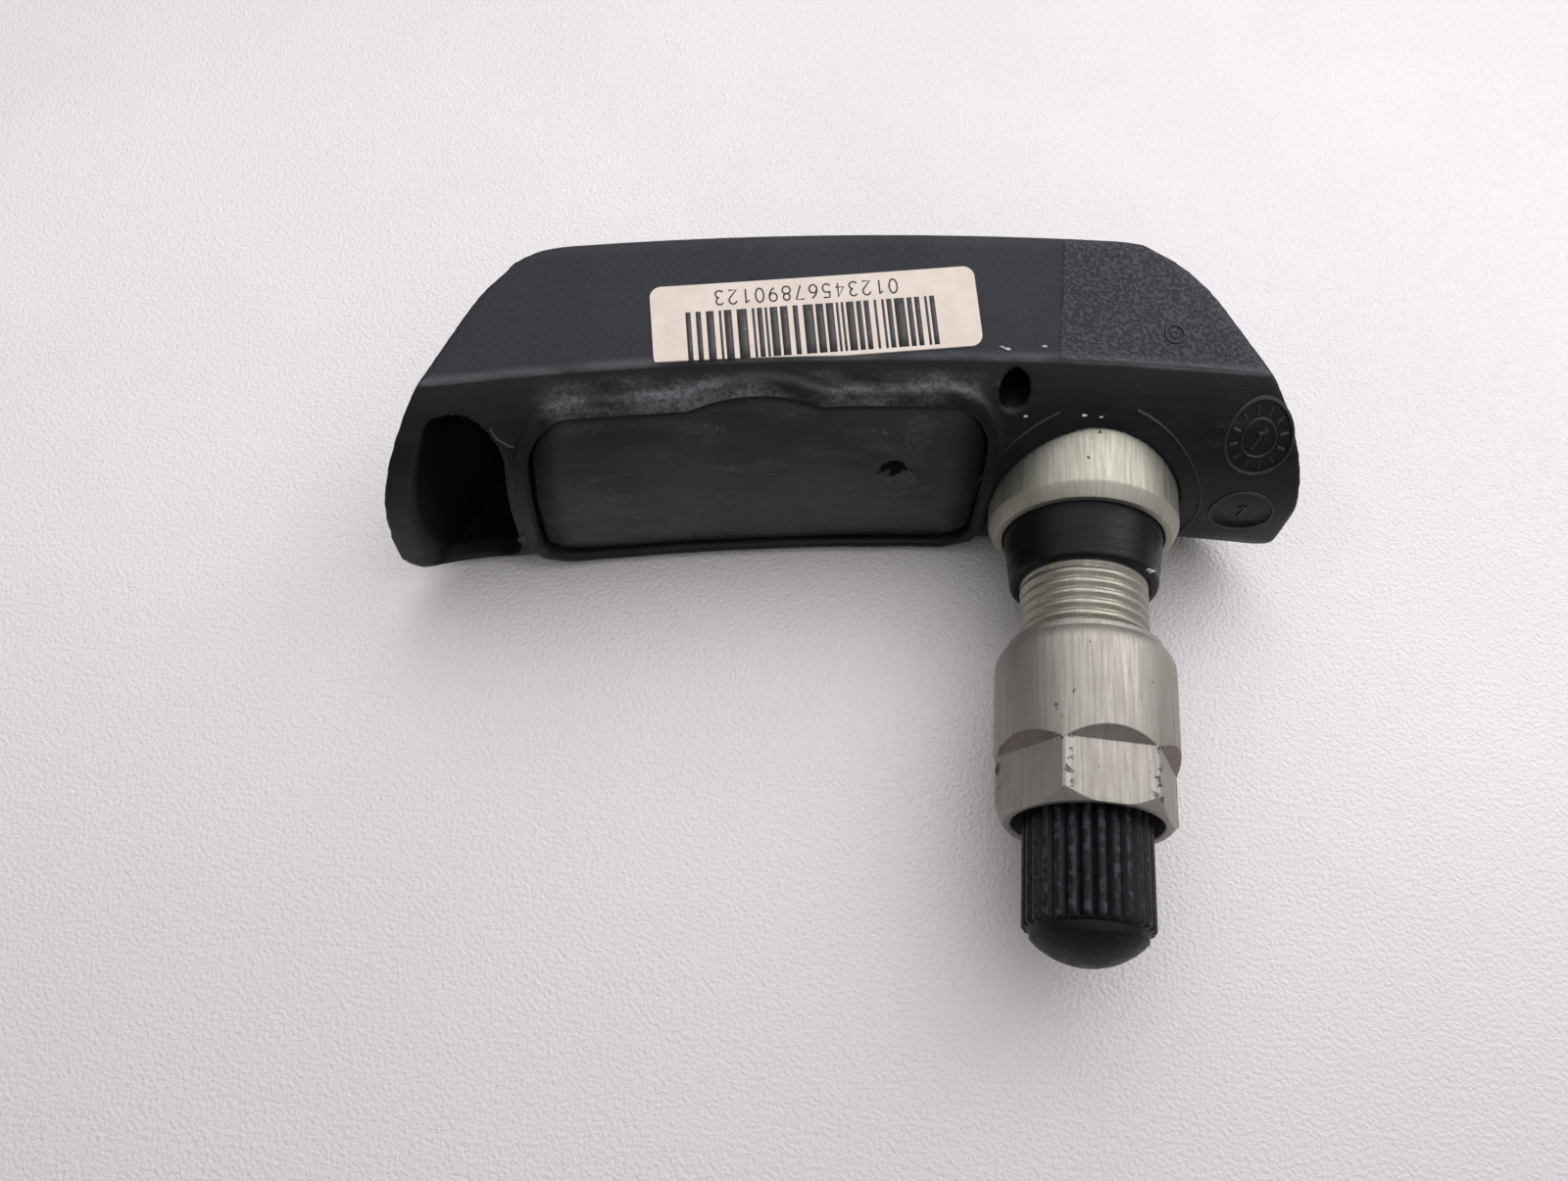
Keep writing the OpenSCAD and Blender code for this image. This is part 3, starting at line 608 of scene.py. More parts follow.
def towardsEnds(co):
    left = smoothStep(endWallDepth(co, housingShape["leftWall"]), *housing["leftFade"])
    right = smoothStep(endWallDepth(co, housingShape["rightWall"]), *housing["rightFade"])
    foot = smoothStep(co.z, *housing["footHeights"]) * smoothStep(faceDepth(co * mm)[2], *housing["footDepths"])
    return max(left, right, housing["footShare"] * foot)


def roundTheBay(co):
    # the frame round the bay is soft, most of all along its top
    x, z, depth = faceDepth(co * mm)
    if abs(depth) > housing["frameDepth"] or z > housing["frameEnd"]:
        return 0
    away = abs(bayDistance(x, z) + housing["frameLine"])
    return smoothStep(away, *housing["frameFade"]) * (0.55 + 0.45 * smoothStep(z, *housing["frameTop"]))


def frontRelief(x, z):
    # how far the face is pushed in, mm: two round recesses, one of them tilted, and slow waves
    edge = housing["recessEdge"]
    cx, cz, r, deep = housing["dial"]
    push = deep * smoothStep(math.hypot(x - cx, z - cz), r + edge, r - edge)
    cx, cz, r, deep = housing["cavity"]
    tilt = 1 - housing["cavityTilt"] + housing["cavityTilt"] * smoothStep(z - cz, r, -r)
    push += deep * smoothStep(math.hypot(x - cx, z - cz), r + edge, r - edge) * tilt
    height, across, up, seed = housing["waves"]
    return push + height * noise.noise(Vector((x / across, z / up, seed)))


housingSkin = remeshed(copyOfNode("housing"), "housingSkin", nylon, housing["voxel"], housing["smoothing"])
softened(housingSkin, towardsEnds, housing["endSmoothing"])
softened(housingSkin, roundTheBay, housing["frameSmoothing"])
for v in housingSkin.data.vertices:
    x, z, depth = faceDepth(v.co)
    if abs(depth) < housing["relief"]:
        pushAlongFace(v, frontRelief(x, z))
fewer = housingSkin.modifiers.new("fewer faces", "DECIMATE")
fewer.ratio = housing["keep"]
applied(housingSkin)
dress(housingSkin, "sensor", "housing", "housing")
print("housing:", len(housingSkin.data.polygons), "faces")


# ---- moulding marks that stand a hair proud of the saddle face

marks = {
    "lift": 0.09,
    "dateDial": (12.1, 7.65, 2.45),    # place across and up, and radius, mm
    "cavity": (12.7, 0.8, 2.4),
    "pill": (-45.5, -3.1, 0.6),
    "seatRing": (0.0, 0.0, 9.3),
    "seatArcs": [(-40, 75), (112, 170)],
    # strokes: offset across and up, length, width and turn
    "dialStrokes": [(0, 0, 1.7, 0.26, 62), (0.25, 0.45, 0.7, 0.22, 20), (0.42, 0.3, 0.6, 0.22, 100)],
    "cavityStrokes": [(0.1, 0, 1.5, 0.24, 80), (-0.15, 0.55, 0.6, 0.22, 35)],
    "flashLines": [[(-47.0, 8.7), (-46.5, 8.0), (-45.6, 7.45), (-44.9, 7.25)],
                   [(-45.9, 6.9), (-45.5, 4.2), (-45.3, 1.0), (-45.5, -1.3)],
                   [(-45.95, -5.0), (-45.7, -4.6), (-45.5, -4.1)]],
    "pinMark": (4.74, 12.25),          # ejector pin's mark on the label face
}


def recessed(x, z, lift):
    return frontPoint(x, z, lift - frontRelief(x, z))


def ringOn(bm, x, z, radius, width, start=0, end=360, squeeze=1.0):
    # a low ring: a small section spun round, in the plane of the face before it is laid on it
    half = width / 2
    section = [(radius - half, 0.0), (radius - half / 2, 1.0), (radius + half / 2, 1.0),
               (radius + half, 0.0), (radius, -2.0)]
    verts = [bm.verts.new((r, lift, 0)) for r, lift in section]
    edges = [bm.edges.new((a, b)) for a, b in zip(verts, verts[1:] + verts[:1])]
    bmesh.ops.rotate(bm, verts=verts, cent=(0, 0, 0), matrix=Matrix.Rotation(math.radians(-start), 3, "Y"))
    bmesh.ops.spin(bm, geom=verts + edges, cent=(0, 0, 0), axis=(0, -1, 0), dvec=(0, 0, 0),
                   angle=math.radians(end - start), steps=max(10, round(abs(end - start) / 6)),
                   use_merge=end - start >= 360)
    bmesh.ops.holes_fill(bm, edges=[e for e in bm.edges if e.is_boundary], sides=8)
    for v in [v for v in bm.verts if not v.tag]:
        v.co = Vector((v.co.x * squeeze + x, v.co.y, v.co.z + z))
        v.tag = True


def barOn(bm, x, z, length, width, turn):
    ax = math.cos(math.radians(turn)) * length / 2
    az = math.sin(math.radians(turn)) * length / 2
    stripOn(bm, recessed, [(x - ax, z - az), (x, z), (x + ax, z + az)], width, -0.1, marks["lift"] + 0.03, 0.5)


bm = bmesh.new()
x, z, r = marks["dateDial"]
ringOn(bm, x, z, r + 0.1, 0.22)
x, z, r = marks["cavity"]
ringOn(bm, x, z, r + 0.08, 0.18)
x, z, r = marks["pill"]
ringOn(bm, x, z, r, 0.2, squeeze=1.05)
x, z, r = marks["seatRing"]
for start, end in marks["seatArcs"]:
    ringOn(bm, x, z, r, 0.14, start, end)
for v in bm.verts:
    v.co = frontPoint(v.co.x, v.co.z, v.co.y * marks["lift"])

x, z, r = marks["dateDial"]
for hour in range(12):
    turn = 30 * hour + 15
    a = math.radians(turn)
    barOn(bm, x + r * 0.77 * math.cos(a), z + r * 0.77 * math.sin(a), 0.62, 0.22, turn)
for name, strokes in (("dateDial", "dialStrokes"), ("cavity", "cavityStrokes")):
    x, z, r = marks[name]
    for dx, dz, length, width, turn in marks[strokes]:
        barOn(bm, x + dx, z + dz, length, width, turn)
stripOn(bm, recessed, arcPoints(marks["dateDial"][:2], 1.3, 0, 355, 30), 0.2, -0.1, 0.1, 0.5)
x, z, r = marks["pill"]
stripOn(bm, frontPoint, [(x - r * 0.8, z), (x, z), (x + r * 0.8, z)], 0.7, -0.1, 0.06, 0.8)
for line in marks["flashLines"]:
    stripOn(bm, frontPoint, line, 0.22, -0.1, 0.09, 0.3)
stripOn(bm, labelPoint, arcPoints(marks["pinMark"], 0.72, 0, 350, 24), 0.26, -0.05, 0.1, 0.4)
stripOn(bm, labelPoint, arcPoints(marks["pinMark"], 0.25, 0, 350, 12), 0.3, -0.05, 0.08, 0.4)
# the marks are painted paler than the face round them: partly rubbed wear, partly painted highlight on their raised
# edges
mouldMarks = finishMesh(bm, "mouldMarks", plainFinish("rubbedNylonAndHighlight", "#26272c", 0.46, 0.0, 0.6, 0.01), 35)
dress(mouldMarks, "sensor", "housing")
print("mould marks:", len(mouldMarks.data.polygons), "faces")


# ---- label print: plain bars and a plain row of digits, laid on the sticker

label = {
    "centre": (-22.96, 10.97),
    "turn": 10.2,
    "bars": (-10.0, 9.3, -3.0, 1.05),  # left, right, front and back edges of the bar pattern, mm
    "barStep": 0.197,
    "ink": (0.08, 0.132),              # the print's underside and top above the label face
    "digitRow": (6.6, 2.72, 1.04),     # first digit's place along and across, and the spacing
    "digitSize": (0.74, 0.78),
    "stroke": 0.13,
    "digits": "01234567890123",
}


def onLabel(u, v, lift):
    a = math.radians(label["turn"])
    cx, cy = label["centre"]
    return labelPoint(cx + u * math.cos(a) - v * math.sin(a), cy + u * math.sin(a) + v * math.cos(a), lift)


digitStrokes = {
    "0": [ovalPoints(0.5, 0.8, 0.42, 0.75, 0, 360, 20)],
    "1": [[(0.2, 1.25), (0.55, 1.55), (0.55, 0.05)]],
    "2": [ovalPoints(0.5, 1.13, 0.4, 0.42, 165, -35, 10) + [(0.1, 0.06), (0.92, 0.06)]],
    "3": [ovalPoints(0.48, 1.17, 0.38, 0.38, 150, -80, 10) + ovalPoints(0.48, 0.42, 0.42, 0.38, 80, -150, 10)],
    "4": [[(0.7, 0.05), (0.7, 1.55), (0.08, 0.5), (0.95, 0.5)]],
    "5": [[(0.85, 1.52), (0.22, 1.52), (0.16, 0.85)] + ovalPoints(0.48, 0.52, 0.42, 0.46, 120, -150, 10)],
    "6": [ovalPoints(0.5, 0.5, 0.4, 0.44, 180, -180, 18), ovalPoints(0.95, 0.5, 0.85, 1.05, 180, 110, 6)],
    "7": [[(0.08, 1.52), (0.92, 1.52), (0.4, 0.05)]],
    "8": [ovalPoints(0.5, 1.17, 0.34, 0.36, -90, 270, 16), ovalPoints(0.5, 0.44, 0.42, 0.4, 90, 450, 16)],
    "9": [ovalPoints(0.5, 1.1, 0.4, 0.44, 0, 360, 18), ovalPoints(0.05, 1.1, 0.85, 1.05, 0, -70, 6)],
}

bm = bmesh.new()
chance = random.Random(11)
left, right, front, back = label["bars"]
u = left
while u < right - 0.3:
    wide = chance.choice((1, 1, 2, 2, 3, 4)) * label["barStep"]
    middle = [(u + wide / 2, front + (back - front) * i / 4) for i in range(5)]
    stripOn(bm, onLabel, middle, wide, *label["ink"])
    u += wide + chance.choice((1, 1, 1, 2, 2)) * label["barStep"]
along, across, spacing = label["digitRow"]
wide, high = label["digitSize"]
for index, digit in enumerate(label["digits"]):
    for stroke in digitStrokes[digit]:
        # the row is upside down for a viewer at the cap's side
        line = [(along - index * spacing - x * wide, across - y * high) for x, y in stroke]
        stripOn(bm, onLabel, line, label["stroke"], *label["ink"])
labelPrint = finishMesh(bm, "labelPrint", ink, 180)
dress(labelPrint, "sensor", "label")
print("label print:", len(labelPrint.data.polygons), "faces")


# ---- small pale flecks of torn skin and dried foam

flecks = {
    "front": [(-12.7, 9.4, 0.2), (-6.1, 8.3, 0.13), (-1.6, 8.5, 0.16), (-0.3, 8.45, 0.12)],
    "label": [(-8.1, 9.8, 0.2), (-5.2, 10.3, 0.15), (-8.5, 9.95, 0.12)],
    "bush": [((4.35, -4.2, 3.72), 0.24), ((4.05, -4.25, 4.0), 0.15)],
    "flattened": (1.25, 0.7, 0.55),
}


def fleckAt(bm, place, size):
    wide, deep, high = flecks["flattened"]
    made = bmesh.ops.create_icosphere(bm, subdivisions=2, radius=size * mm)["verts"]
    for v in made:
        v.co *= 1 + 0.9 * noise.noise(v.co / (size * mm) * 1.4 + place * 300)
        v.co = place + Vector((v.co.x * wide, v.co.y * deep, v.co.z * high))


bm = bmesh.new()
for x, z, size in flecks["front"]:
    fleckAt(bm, frontPoint(x, z, 0.03), size)
for x, y, size in flecks["label"]:
    fleckAt(bm, labelPoint(x, y, 0.03), size)
for place, size in flecks["bush"]:
    fleckAt(bm, Vector(place) * mm, size)
paleFlecks = finishMesh(bm, "paleFlecks", plainFinish("driedFoam", "#b9b9bc", 0.6, 0.0, 0.2), 40)
dress(paleFlecks, "sensor", "housing")


# ---- potting

potting = {
    "voxel": 0.25 * mm,
    "smoothing": 2,
    "reach": 1.7,                     # how deep the relief of the poured face reaches, mm
    "swell": 0.46,                    # how far it stands out of the saddle face, nearly level with its frame
    "edgeDip": (0.3, 1.3),            # fall of the face along the frame's foot, and how wide that is
    "edgeRoll": (0.14, 0.4),          # its rolled edge, all round
    "waves": [(0.1, 7, 4, 1.3), (0.06, 1.6, 1.6, 4.1)],   # height, lengths across and up, and noise seed
    "footHeights": (-3.6, -5.4),      # where the fall along the foot begins and is full
    "crater": (-15.8, 4.1, 0.6, 0.42, 1.35),              # place across and up, depth, width and stretch
    "craterLip": (0.1, 0.85, 0.3),    # height, distance from the middle, and width
    "dabs": [(-14.2, 6.75, 1.5), (-15.4, 2.7, 1.75)],     # round dabs left where the vents were closed
    "dabRim": (0.07, 0.22),           # height and width of the low rim round each dab
}


def hump(value, width):
    return math.exp(-(value / width) ** 2)


def pottingRelief(x, z):
    inside = max(bayDistance(x, z), 0)
    dip, dipWidth = potting["edgeDip"]
    roll, rollWidth = potting["edgeRoll"]
    push = dip * smoothStep(z, *potting["footHeights"]) * hump(inside, dipWidth) - potting["swell"]
    push += roll * hump(inside, rollWidth)
    for height, across, up, seed in potting["waves"]:
        push += height * noise.noise(Vector((x / across, z / up, seed)))
    cx, cz, deep, wide, stretch = potting["crater"]
    lip, lipPlace, lipWidth = potting["craterLip"]
    near = math.hypot((x - cx) / stretch, z - cz)
    push += deep * hump(near, wide) - lip * hump(near - lipPlace, lipWidth)
    rim, rimWidth = potting["dabRim"]
    for dx, dz, r in potting["dabs"]:
        push -= rim * hump(math.hypot(x - dx, (z - dz) * 1.2) - r, rimWidth)
    return push


pottingFill = remeshed(copyOfNode("potting"), "pottingFill", resin, potting["voxel"], potting["smoothing"])
for v in pottingFill.data.vertices:
    x, z, depth = faceDepth(v.co)
    if depth < potting["reach"]:
        pushAlongFace(v, pottingRelief(x, z) * min(1.0, potting["reach"] - depth))
dress(pottingFill, "sensor", "potting", "potting")
print("potting:", len(pottingFill.data.polygons), "faces")


# ---- the thin dark seam where the potting meets its frame: a near-black strip, painted shadow of the groove

seam = {"under": -0.08, "lift": 0.06, "width": 0.3, "grow": 0.16}


def seamPath():
    # the bay's outline in mm, a little outside it, with the low wave in its top edge
    grow = seam["grow"]
    (mx, mz), (halfWidth, halfHeight) = bay["middle"], bay["half"]
    left, right, top = mx - halfWidth - grow, mx + halfWidth + grow, mz + halfHeight + grow
    corner = bay["corner"] + grow
    path = [(left, z / 2) for z in range(-8, 11)]
    path += arcPoints((left + corner, top - corner), corner, 175, 95, 10)
    path += [(x / 2, top + bayWave(x / 2)) for x in range(-82, -22)]
    path += arcPoints((right - corner, top - corner), corner, 85, 5, 10)
    return path + [(right, 5 - z / 2) for z in range(0, 19)]


bm = bmesh.new()
for part in (housingSkin, pottingFill):
    bm.from_mesh(part.data)
skinTree = bvhtree.BVHTree.FromBMesh(bm)
bm.free()


def onSkin(x, z, lift):
    # a point on the visible front skin, found from the viewer's side
    flat = frontPoint(x, z)
    hit = skinTree.ray_cast(flat + Vector((0, -4 * mm, 0)), Vector((0, 1, 0)))[0] or flat
    return hit + Vector((0, -lift * mm, 0))


bm = bmesh.new()
stripOn(bm, onSkin, seamPath(), seam["width"], seam["under"], seam["lift"], 0.4)
pottingSeamShadow = finishMesh(bm, "pottingSeamShadow", plainFinish("seamShadow", "#040406", 0.95, 0.0, 0.4), 60)
dress(pottingSeamShadow, "sensor", "potting")


# ---- valve stem, with its threads cut into the turned surface

stem = {
    "body": {"radius": 5.0, "low": 4.3, "high": 17.9, "pitch": 0.9, "depth": 0.3},       # the nut's thread, mm
    "tip": {"radius": 3.85, "low": 19.2, "high": 30.3, "pitch": 0.79, "depth": 0.35},    # the cap's thread
    "fade": 0.6,                               # a thread's run-out at either end
    "spacing": 0.1,                            # between the rows of points that carry a thread
}


def threadProfile(phase):
    # flat crest, sloping flanks and a narrow root
    t = abs((phase % 1.0) - 0.5) * 2
    return min(1.0, max(0.0, (t - 0.12) / 0.62))


def cutThread(bm, radius, low, high, pitch, depth):
    for v in bm.verts:
        s = -v.co.y / mm
        r = math.hypot(v.co.x, v.co.z) / mm
        if low < s < high and abs(r - radius) < 0.02:
            phase = s / pitch + math.atan2(v.co.z, v.co.x) / math.tau
            ends = min(1.0, (s - low) / stem["fade"], (high - s) / stem["fade"])
            k = (r - depth * (1 - threadProfile(phase)) * ends) / r
            v.co.x *= k
            v.co.z *= k


body, tip = stem["body"], stem["tip"]
stemPoints = (
    [(1.5, -3.6), (2.03, -3.6), (2.03, -8.6), (7.3, -8.6), (7.52, -8.5), (7.6, -8.3)]        # seat in the housing
    + [(7.6, -1.3), (7.58, -1.15), (7.52, -1.02), (7.05, -0.1), (6.98, -0.02), (6.88, 0.0)]  # head and its rim
    + [(6.5, 0.0), (6.42, -0.06), (6.4, -0.15), (6.4, -3.4), (6.3, -3.5), (body["radius"], -3.5)]  # cup for the bush
    + rows(body["radius"], -3.3, body["high"], stem["spacing"])
    + [(4.75, 18.2), (4.5, 18.4), (3.9, 18.4), (tip["radius"], 18.45)]
    + rows(tip["radius"], 18.6, tip["high"], stem["spacing"])
    + [(3.7, 30.5), (3.5, 30.6), (2.63, 30.6)]
    + [(2.63, 23.0), (2.15, 22.4), (2.15, 18.8), (1.5, 18.3)]                                # bore for the valve core
)
bm = closedTurning(stemPoints, 112)
cutThread(bm, **body)
cutThread(bm, **tip)
valveStem = finishMesh(bm, "valveStemTurned", stemMetal, 32)
dress(valveStem, "sensor", "valve_stem", "valve_stem")
print("valve stem:", len(valveStem.data.polygons), "faces")


# ---- rubber bush

bush = {
    "bore": 5.03,
    "inCup": (6.37, -3.5, -0.1),     # radius, and where it starts and ends
    "shoulder": (6.3, 0.1),          # radius and place where the taper starts
    "taper": (0.47, 3.9),            # how much it narrows, over what length
    "lip": ((5.5, 4.05), 0.33),      # rounded free edge: centre and radius
}
radius, start, end = bush["inCup"]
shoulder, foot = bush["shoulder"]
narrows, reach = bush["taper"]
bushPoints = (
    [(bush["bore"], start), (radius, start), (radius, end), (shoulder, foot)]
    + [(shoulder - narrows * i / 8, foot + reach * i / 8) for i in range(1, 9)]
    + arcPoints(*bush["lip"], 10, 90, 4) + [(5.2, 4.38), (bush["bore"], 4.3)]
)
rimBush = finishMesh(closedTurning(bushPoints), "rimBush", rubber, 35)
dress(rimBush, "sensor", "rim_grommet", "rim_grommet")
print("bush:", len(rimBush.data.polygons), "faces")


# ---- union nut: turned body, six milled flats

nut = {
    "start": 9.8,
    "end": 23.9,
    "radius": 6.86,
    "shoulder": 2.2,     # rounding of its rear edge
    "thread": 5.05,
    "counterbore": 5.5,
    "flats": 6.0,        # from the axis to each flat
    "hexStart": 19.3,
    "runout": 1.2,
    "turn": 5,
    "edge": 0.09,        # broken edge, mm
}
n = nut
nutPoints = (
    [(5.45, n["start"]), (5.75, n["start"]), (5.95, n["start"] + 0.05)]
    + arcPoints((n["radius"] - n["shoulder"], n["start"] + n["shoulder"]), n["shoulder"], -52, 0, 8)
    + [(n["radius"], n["end"] - 0.85), (6.1, n["end"] - 0.02), (5.62, n["end"] - 0.02),
       (n["counterbore"], n["end"] - 0.12), (n["counterbore"], n["end"] - 7.3),
       (n["thread"], n["end"] - 7.7), (n["thread"], n["start"] + 0.4)]
)
nutBody = finishMesh(closedTurning(nutPoints), "unionNutTurned", nutMetal, 30)
bm = bmesh.new()
for index in range(6):
    # a wedge outside one flat: its slanted end leaves the run-out behind the flat
    side = [(n["hexStart"] - n["runout"], n["radius"] + 0.25), (n["hexStart"], n["flats"]),
            (n["end"] + 1, n["flats"]), (n["end"] + 1, 9), (n["hexStart"] - n["runout"], 9)]
    verts = [bm.verts.new((-7 * mm, -s * mm, r * mm)) for s, r in side]
    grown = bmesh.ops.extrude_face_region(bm, geom=[bm.faces.new(verts)])
    moved = [v for v in grown["geom"] if isinstance(v, bmesh.types.BMVert)]
    bmesh.ops.translate(bm, verts=moved, vec=(14 * mm, 0, 0))
    bmesh.ops.rotate(bm, verts=verts + moved, cent=(0, 0, 0),
                     matrix=Matrix.Rotation(math.radians(n["turn"] + index * 60), 3, "Y"))
flatCutter = finishMesh(bm, "flatCutter", nutMetal, 30)
cut = nutBody.modifiers.new("flats", "BOOLEAN")
cut.object = flatCutter
cut.operation = "DIFFERENCE"
cut.solver = "EXACT"
cut.use_self = True
bevel = nutBody.modifiers.new("broken edges", "BEVEL")
bevel.width = n["edge"] * mm
bevel.segments = 2
bevel.limit_method = "ANGLE"
bevel.angle_limit = math.radians(24)
applied(nutBody)
nutBody.data.set_sharp_from_angle(angle=math.radians(28))
bpy.data.objects.remove(flatCutter)
dress(nutBody, "nut", "union_nut", "union_nut")
print("nut:", len(nutBody.data.polygons), "faces")


# ---- dust cap

cap = {
    "start": 20.3,
    "end": 33.9,
    "radius": 4.7,               # over the ribs
    "bore": (3.9, 20.6, 31.5),   # radius, mouth and floor
    "ribs": 28,
    "ribDepth": 0.34,
    "neck": 4.15,
    "domeRise": 1.8,
    "step": 0.6,                 # from the ribs' end to the dome's foot
}
c = cap
rim = c["radius"]
domeRadius = (c["neck"] ** 2 + c["domeRise"] ** 2) / (2 * c["domeRise"])
domeAngle = math.degrees(math.asin(c["neck"] / domeRadius))
ribEnd = c["end"] - c["domeRise"] - c["step"]
bore, mouth, floor = c["bore"]
capPoints = (
    [(rim - 0.5, c["start"]), (rim - 0.25, c["start"]), (rim - 0.08, c["start"] + 0.08), (rim, c["start"] + 0.25)]
    + rows(rim, c["start"] + 0.4, ribEnd - 0.25, 0.25)
    + [(rim - 0.08, ribEnd - 0.08), (rim - 0.25, ribEnd)]
    + [(c["neck"] + 0.1, ribEnd + 0.03), (c["neck"] + 0.02, ribEnd + 0.1), (c["neck"], ribEnd + 0.2)]
    + arcPoints((0, c["end"] - domeRadius), domeRadius, 90 - domeAngle, 90, 10)[:-1]
)
bm = turnedProfile([(bore, floor), (bore, mouth)] + capPoints + [(0.0, c["end"])], c["ribs"] * 8)
bottom = turnedProfile([(0.0, floor), (bore, floor)], c["ribs"] * 8)
mesh = bpy.data.meshes.new("capInside")
bottom.to_mesh(mesh)
bottom.free()
bm.from_mesh(mesh)
bpy.data.meshes.remove(mesh)
bmesh.ops.remove_doubles(bm, verts=bm.verts, dist=1e-6)
for v in bm.verts:
    s = -v.co.y / mm
    r = math.hypot(v.co.x, v.co.z) / mm
    if r > rim - 0.3 and c["start"] - 0.1 < s < ribEnd + 0.02:
        wave = 0.5 - 0.5 * math.cos(c["ribs"] * math.atan2(v.co.z, v.co.x))
        valley = wave ** 2.4 * min(1.0, (s - c["start"] + 0.05) / 0.3)
        k = (r - c["ribDepth"] * valley * (r - rim + 0.5) / 0.5) / r
        v.co.x *= k
        v.co.z *= k
dustCap = finishMesh(bm, "ribbedCap", polypropylene, 50)
dress(dustCap, "cap", "dust_cap", "dust_cap")
print("cap:", len(dustCap.data.polygons), "faces")


# ---- finishes of the pieces that keep their solid's shape

finishes = {
    # name, colour, roughness, metallic and the pattern's size in mm
    "circuit_board": ("glassEpoxy", "#1f5a38", 0.45, 0.0, 0.8),
    "sensor_chip": ("mouldedPackage", "#3a3a3c", 0.5, 0.0, 0.3),
    "rf_crystal": ("nickelCan", "#b8b8b4", 0.3, 1.0, 0.6),
    "capacitor_front": ("ceramicBody", "#8a6a4a", 0.5, 0.0, 0.3),
    "capacitor_rear": ("ceramicBodyRear", "#8a6a4a", 0.5, 0.0, 0.3),
    "antenna": ("copperStrip", "#b87333", 0.35, 1.0, 0.5),
    "coil_core": ("ferrite", "#303034", 0.5, 0.0, 0.4),
    "coil_winding": ("enamelledCopper", "#a5622c", 0.3, 1.0, 0.2),
    "battery": ("batterySteel", "#b4b4b0", 0.35, 1.0, 0.9),
    "battery_tab_left": ("nickelStrip", "#c8c8c4", 0.35, 1.0, 0.6),
    "battery_tab_right": ("nickelStripRight", "#c8c8c4", 0.35, 1.0, 0.6),
    "fixing_screw": ("zincPlatedSteel", "#9c9a92", 0.36, 1.0, 0.5),
    "core_barrel": ("turnedBrass", "#c0a050", 0.3, 1.0, 0.4),
    "core_gasket": ("redGasket", "#a83a2c", 0.5, 0.0, 0.4),
    "core_pin": ("brassPin", "#c8b070", 0.3, 1.0, 0.4),
    "core_seal": ("blackSeal", "#202022", 0.5, 0.0, 0.4),
    "cap_seal": ("capRubber", "#2a2a2c", 0.55, 0.0, 0.5),
}
keptNodes = {name: plainFinish(*finish) for name, finish in finishes.items()}
keptNodes["label"] = paper
for name, material in keptNodes.items():
    nodes[name].data.materials.clear()
    nodes[name].data.materials.append(material)

# the valve core's spring, copied from its node with a steel finish
springSteel = plainFinish("springSteel", "#a0a0a0", 0.3, 1.0, 0.3)
springCoil = finishMesh(copyOfNode("core_spring"), "springCoil", springSteel, 40)
dress(springCoil, "sensor", "core_spring", "core_spring")
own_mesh(springCoil)
print("inner pieces finished")


# ---- table, light and camera

table = {
    "height": -8.2 * mm,
    "gap": 0.01 * mm,
    "size": 3.0,
    "paintedShade": (-62, 2, 0.85),     # painted shade, darker from here towards the viewer: places along Y in mm, and how much
}


def tableTop():
    # laminate table top: pale, faintly pink, with a fine orange-peel texture, and painted shade darkening it towards
    # the viewer
    material, add, shader, place = newMaterial("paleLaminate", "#e0dadc", 0.3)
    tone = twoTone(add, mottle(add, place, 60, 3.0), 0.35, 0.65, "#ddd7d9", "#e3dddf")
    near, far, share = table["paintedShade"]
    y = add("SeparateXYZ", [place]).outputs[1]
    paintedShade = add("MapRange", (y, near * mm, far * mm, share, 0.0), **soft)
    plugIn(shader, {
        "Base Color": add("Mix", (paintedShade, tone, linearColour("#c6bfc1")), **rgba),
        "Normal": add("Bump", {"Height": mottle(add, place, 0.33, 2.0), "Distance": 0.15 * mm}),
    })
    return material


bm = bmesh.new()
bmesh.ops.create_grid(bm, x_segments=1, y_segments=1, size=table["size"] / 2)
bmesh.ops.translate(bm, verts=bm.verts, vec=(0, 0, table["height"] - table["gap"]))
tablePlane = finishMesh(bm, "tableTop", tableTop(), 180)

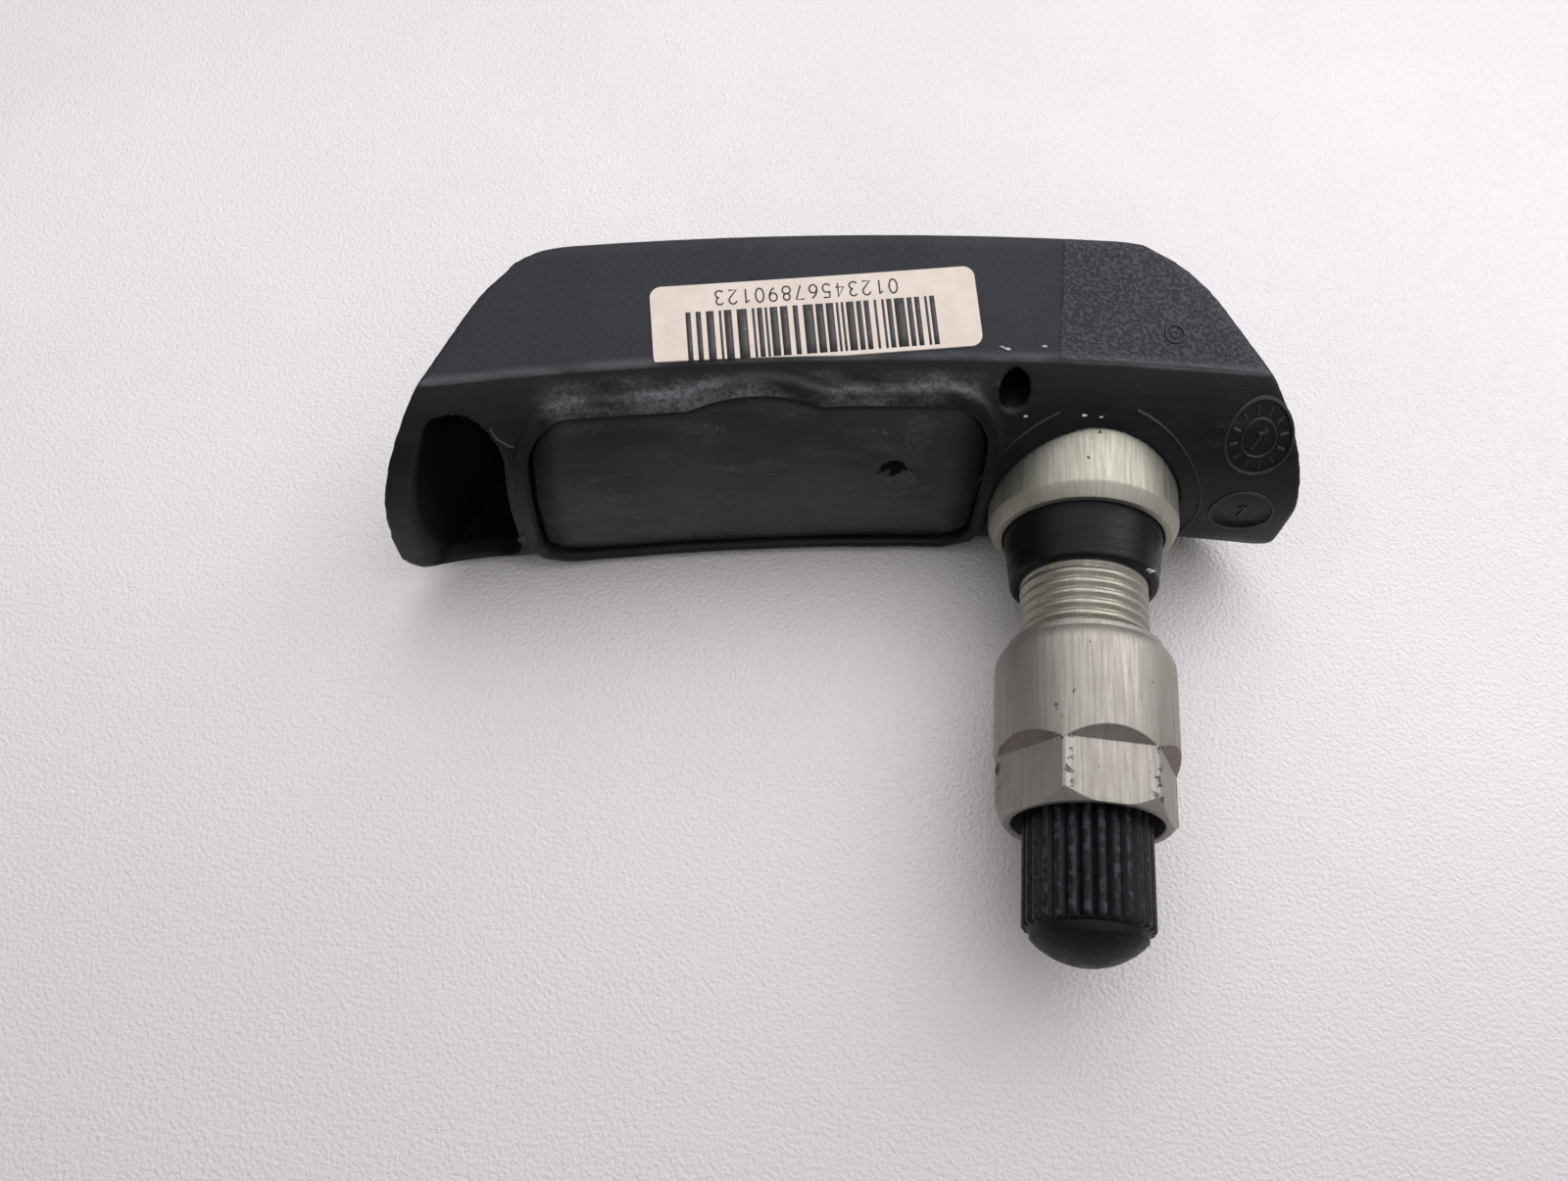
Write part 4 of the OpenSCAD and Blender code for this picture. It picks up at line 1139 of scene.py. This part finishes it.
light = {
    "roomLow": 0.12,       # strength of the room's light at the horizon
    "roomHigh": 1.3,       # and overhead
    "fromRight": 0.4,      # how much more of it comes from the right
    "fromBehind": 0.6,     # and from behind the part
    "lampSize": 0.2,
    "lampTarget": (-0.02, 0, 0),
    "windowBehind": ((-0.02, 0.21, 0.2), 0.13),     # place in metres, and power in watts
    "panelRight": ((0.18, 0.17, 0.19), 0.27),
}
for name in ("windowBehind", "panelRight"):
    place, power = light[name]
    lamp = bpy.data.lights.new(name, "AREA")
    lamp.size = light["lampSize"]
    lamp.energy = power
    obj = bpy.data.objects.new(name, lamp)
    bpy.context.scene.collection.objects.link(obj)
    obj.location = place
    obj.rotation_euler = (Vector(light["lampTarget"]) - Vector(place)).to_track_quat("-Z", "Y").to_euler()

world = bpy.data.worlds.new("softRoom")
bpy.context.scene.world = world
world.use_nodes = True
add = partial(addNode, world.node_tree)
rays = add("LightPath").outputs
seen = add("Math", (rays["Is Camera Ray"], rays["Is Transmission Ray"]), operation="MAXIMUM")
direction = add("SeparateXYZ", [add("TexCoord").outputs["Generated"]]).outputs
room = add("MapRange", (direction[2], 0.0, 0.95, light["roomLow"], light["roomHigh"]), **soft)
leaning = total(add, 1.0, product(add, direction[0], light["fromRight"]),
                product(add, direction[1], light["fromBehind"]))
strength = add("Mix", (seen, product(add, room, leaning), 1.0), data_type="FLOAT")
plugIn(world.node_tree.nodes["Background"], {"Color": linearColour("#f4f4f6"), "Strength": strength})

view = {
    "lens": 30.375,
    "sensor": 36,
    "place": (-20.71, -54.22, 93.30),     # mm
    "turn": (27.018, -0.783, 5.107),      # degrees
}
cameraData = bpy.data.cameras.new("camera")
cameraData.lens = view["lens"]
cameraData.sensor_width = view["sensor"]
cameraData.clip_start = 0.005
camera = bpy.data.objects.new("camera", cameraData)
bpy.context.scene.collection.objects.link(camera)
camera.location = tuple(v * mm for v in view["place"])
camera.rotation_euler = tuple(math.radians(a) for a in view["turn"])
bpy.context.scene.camera = camera
bpy.context.scene.view_settings.view_transform = "Standard"
print("stage, light and camera set")
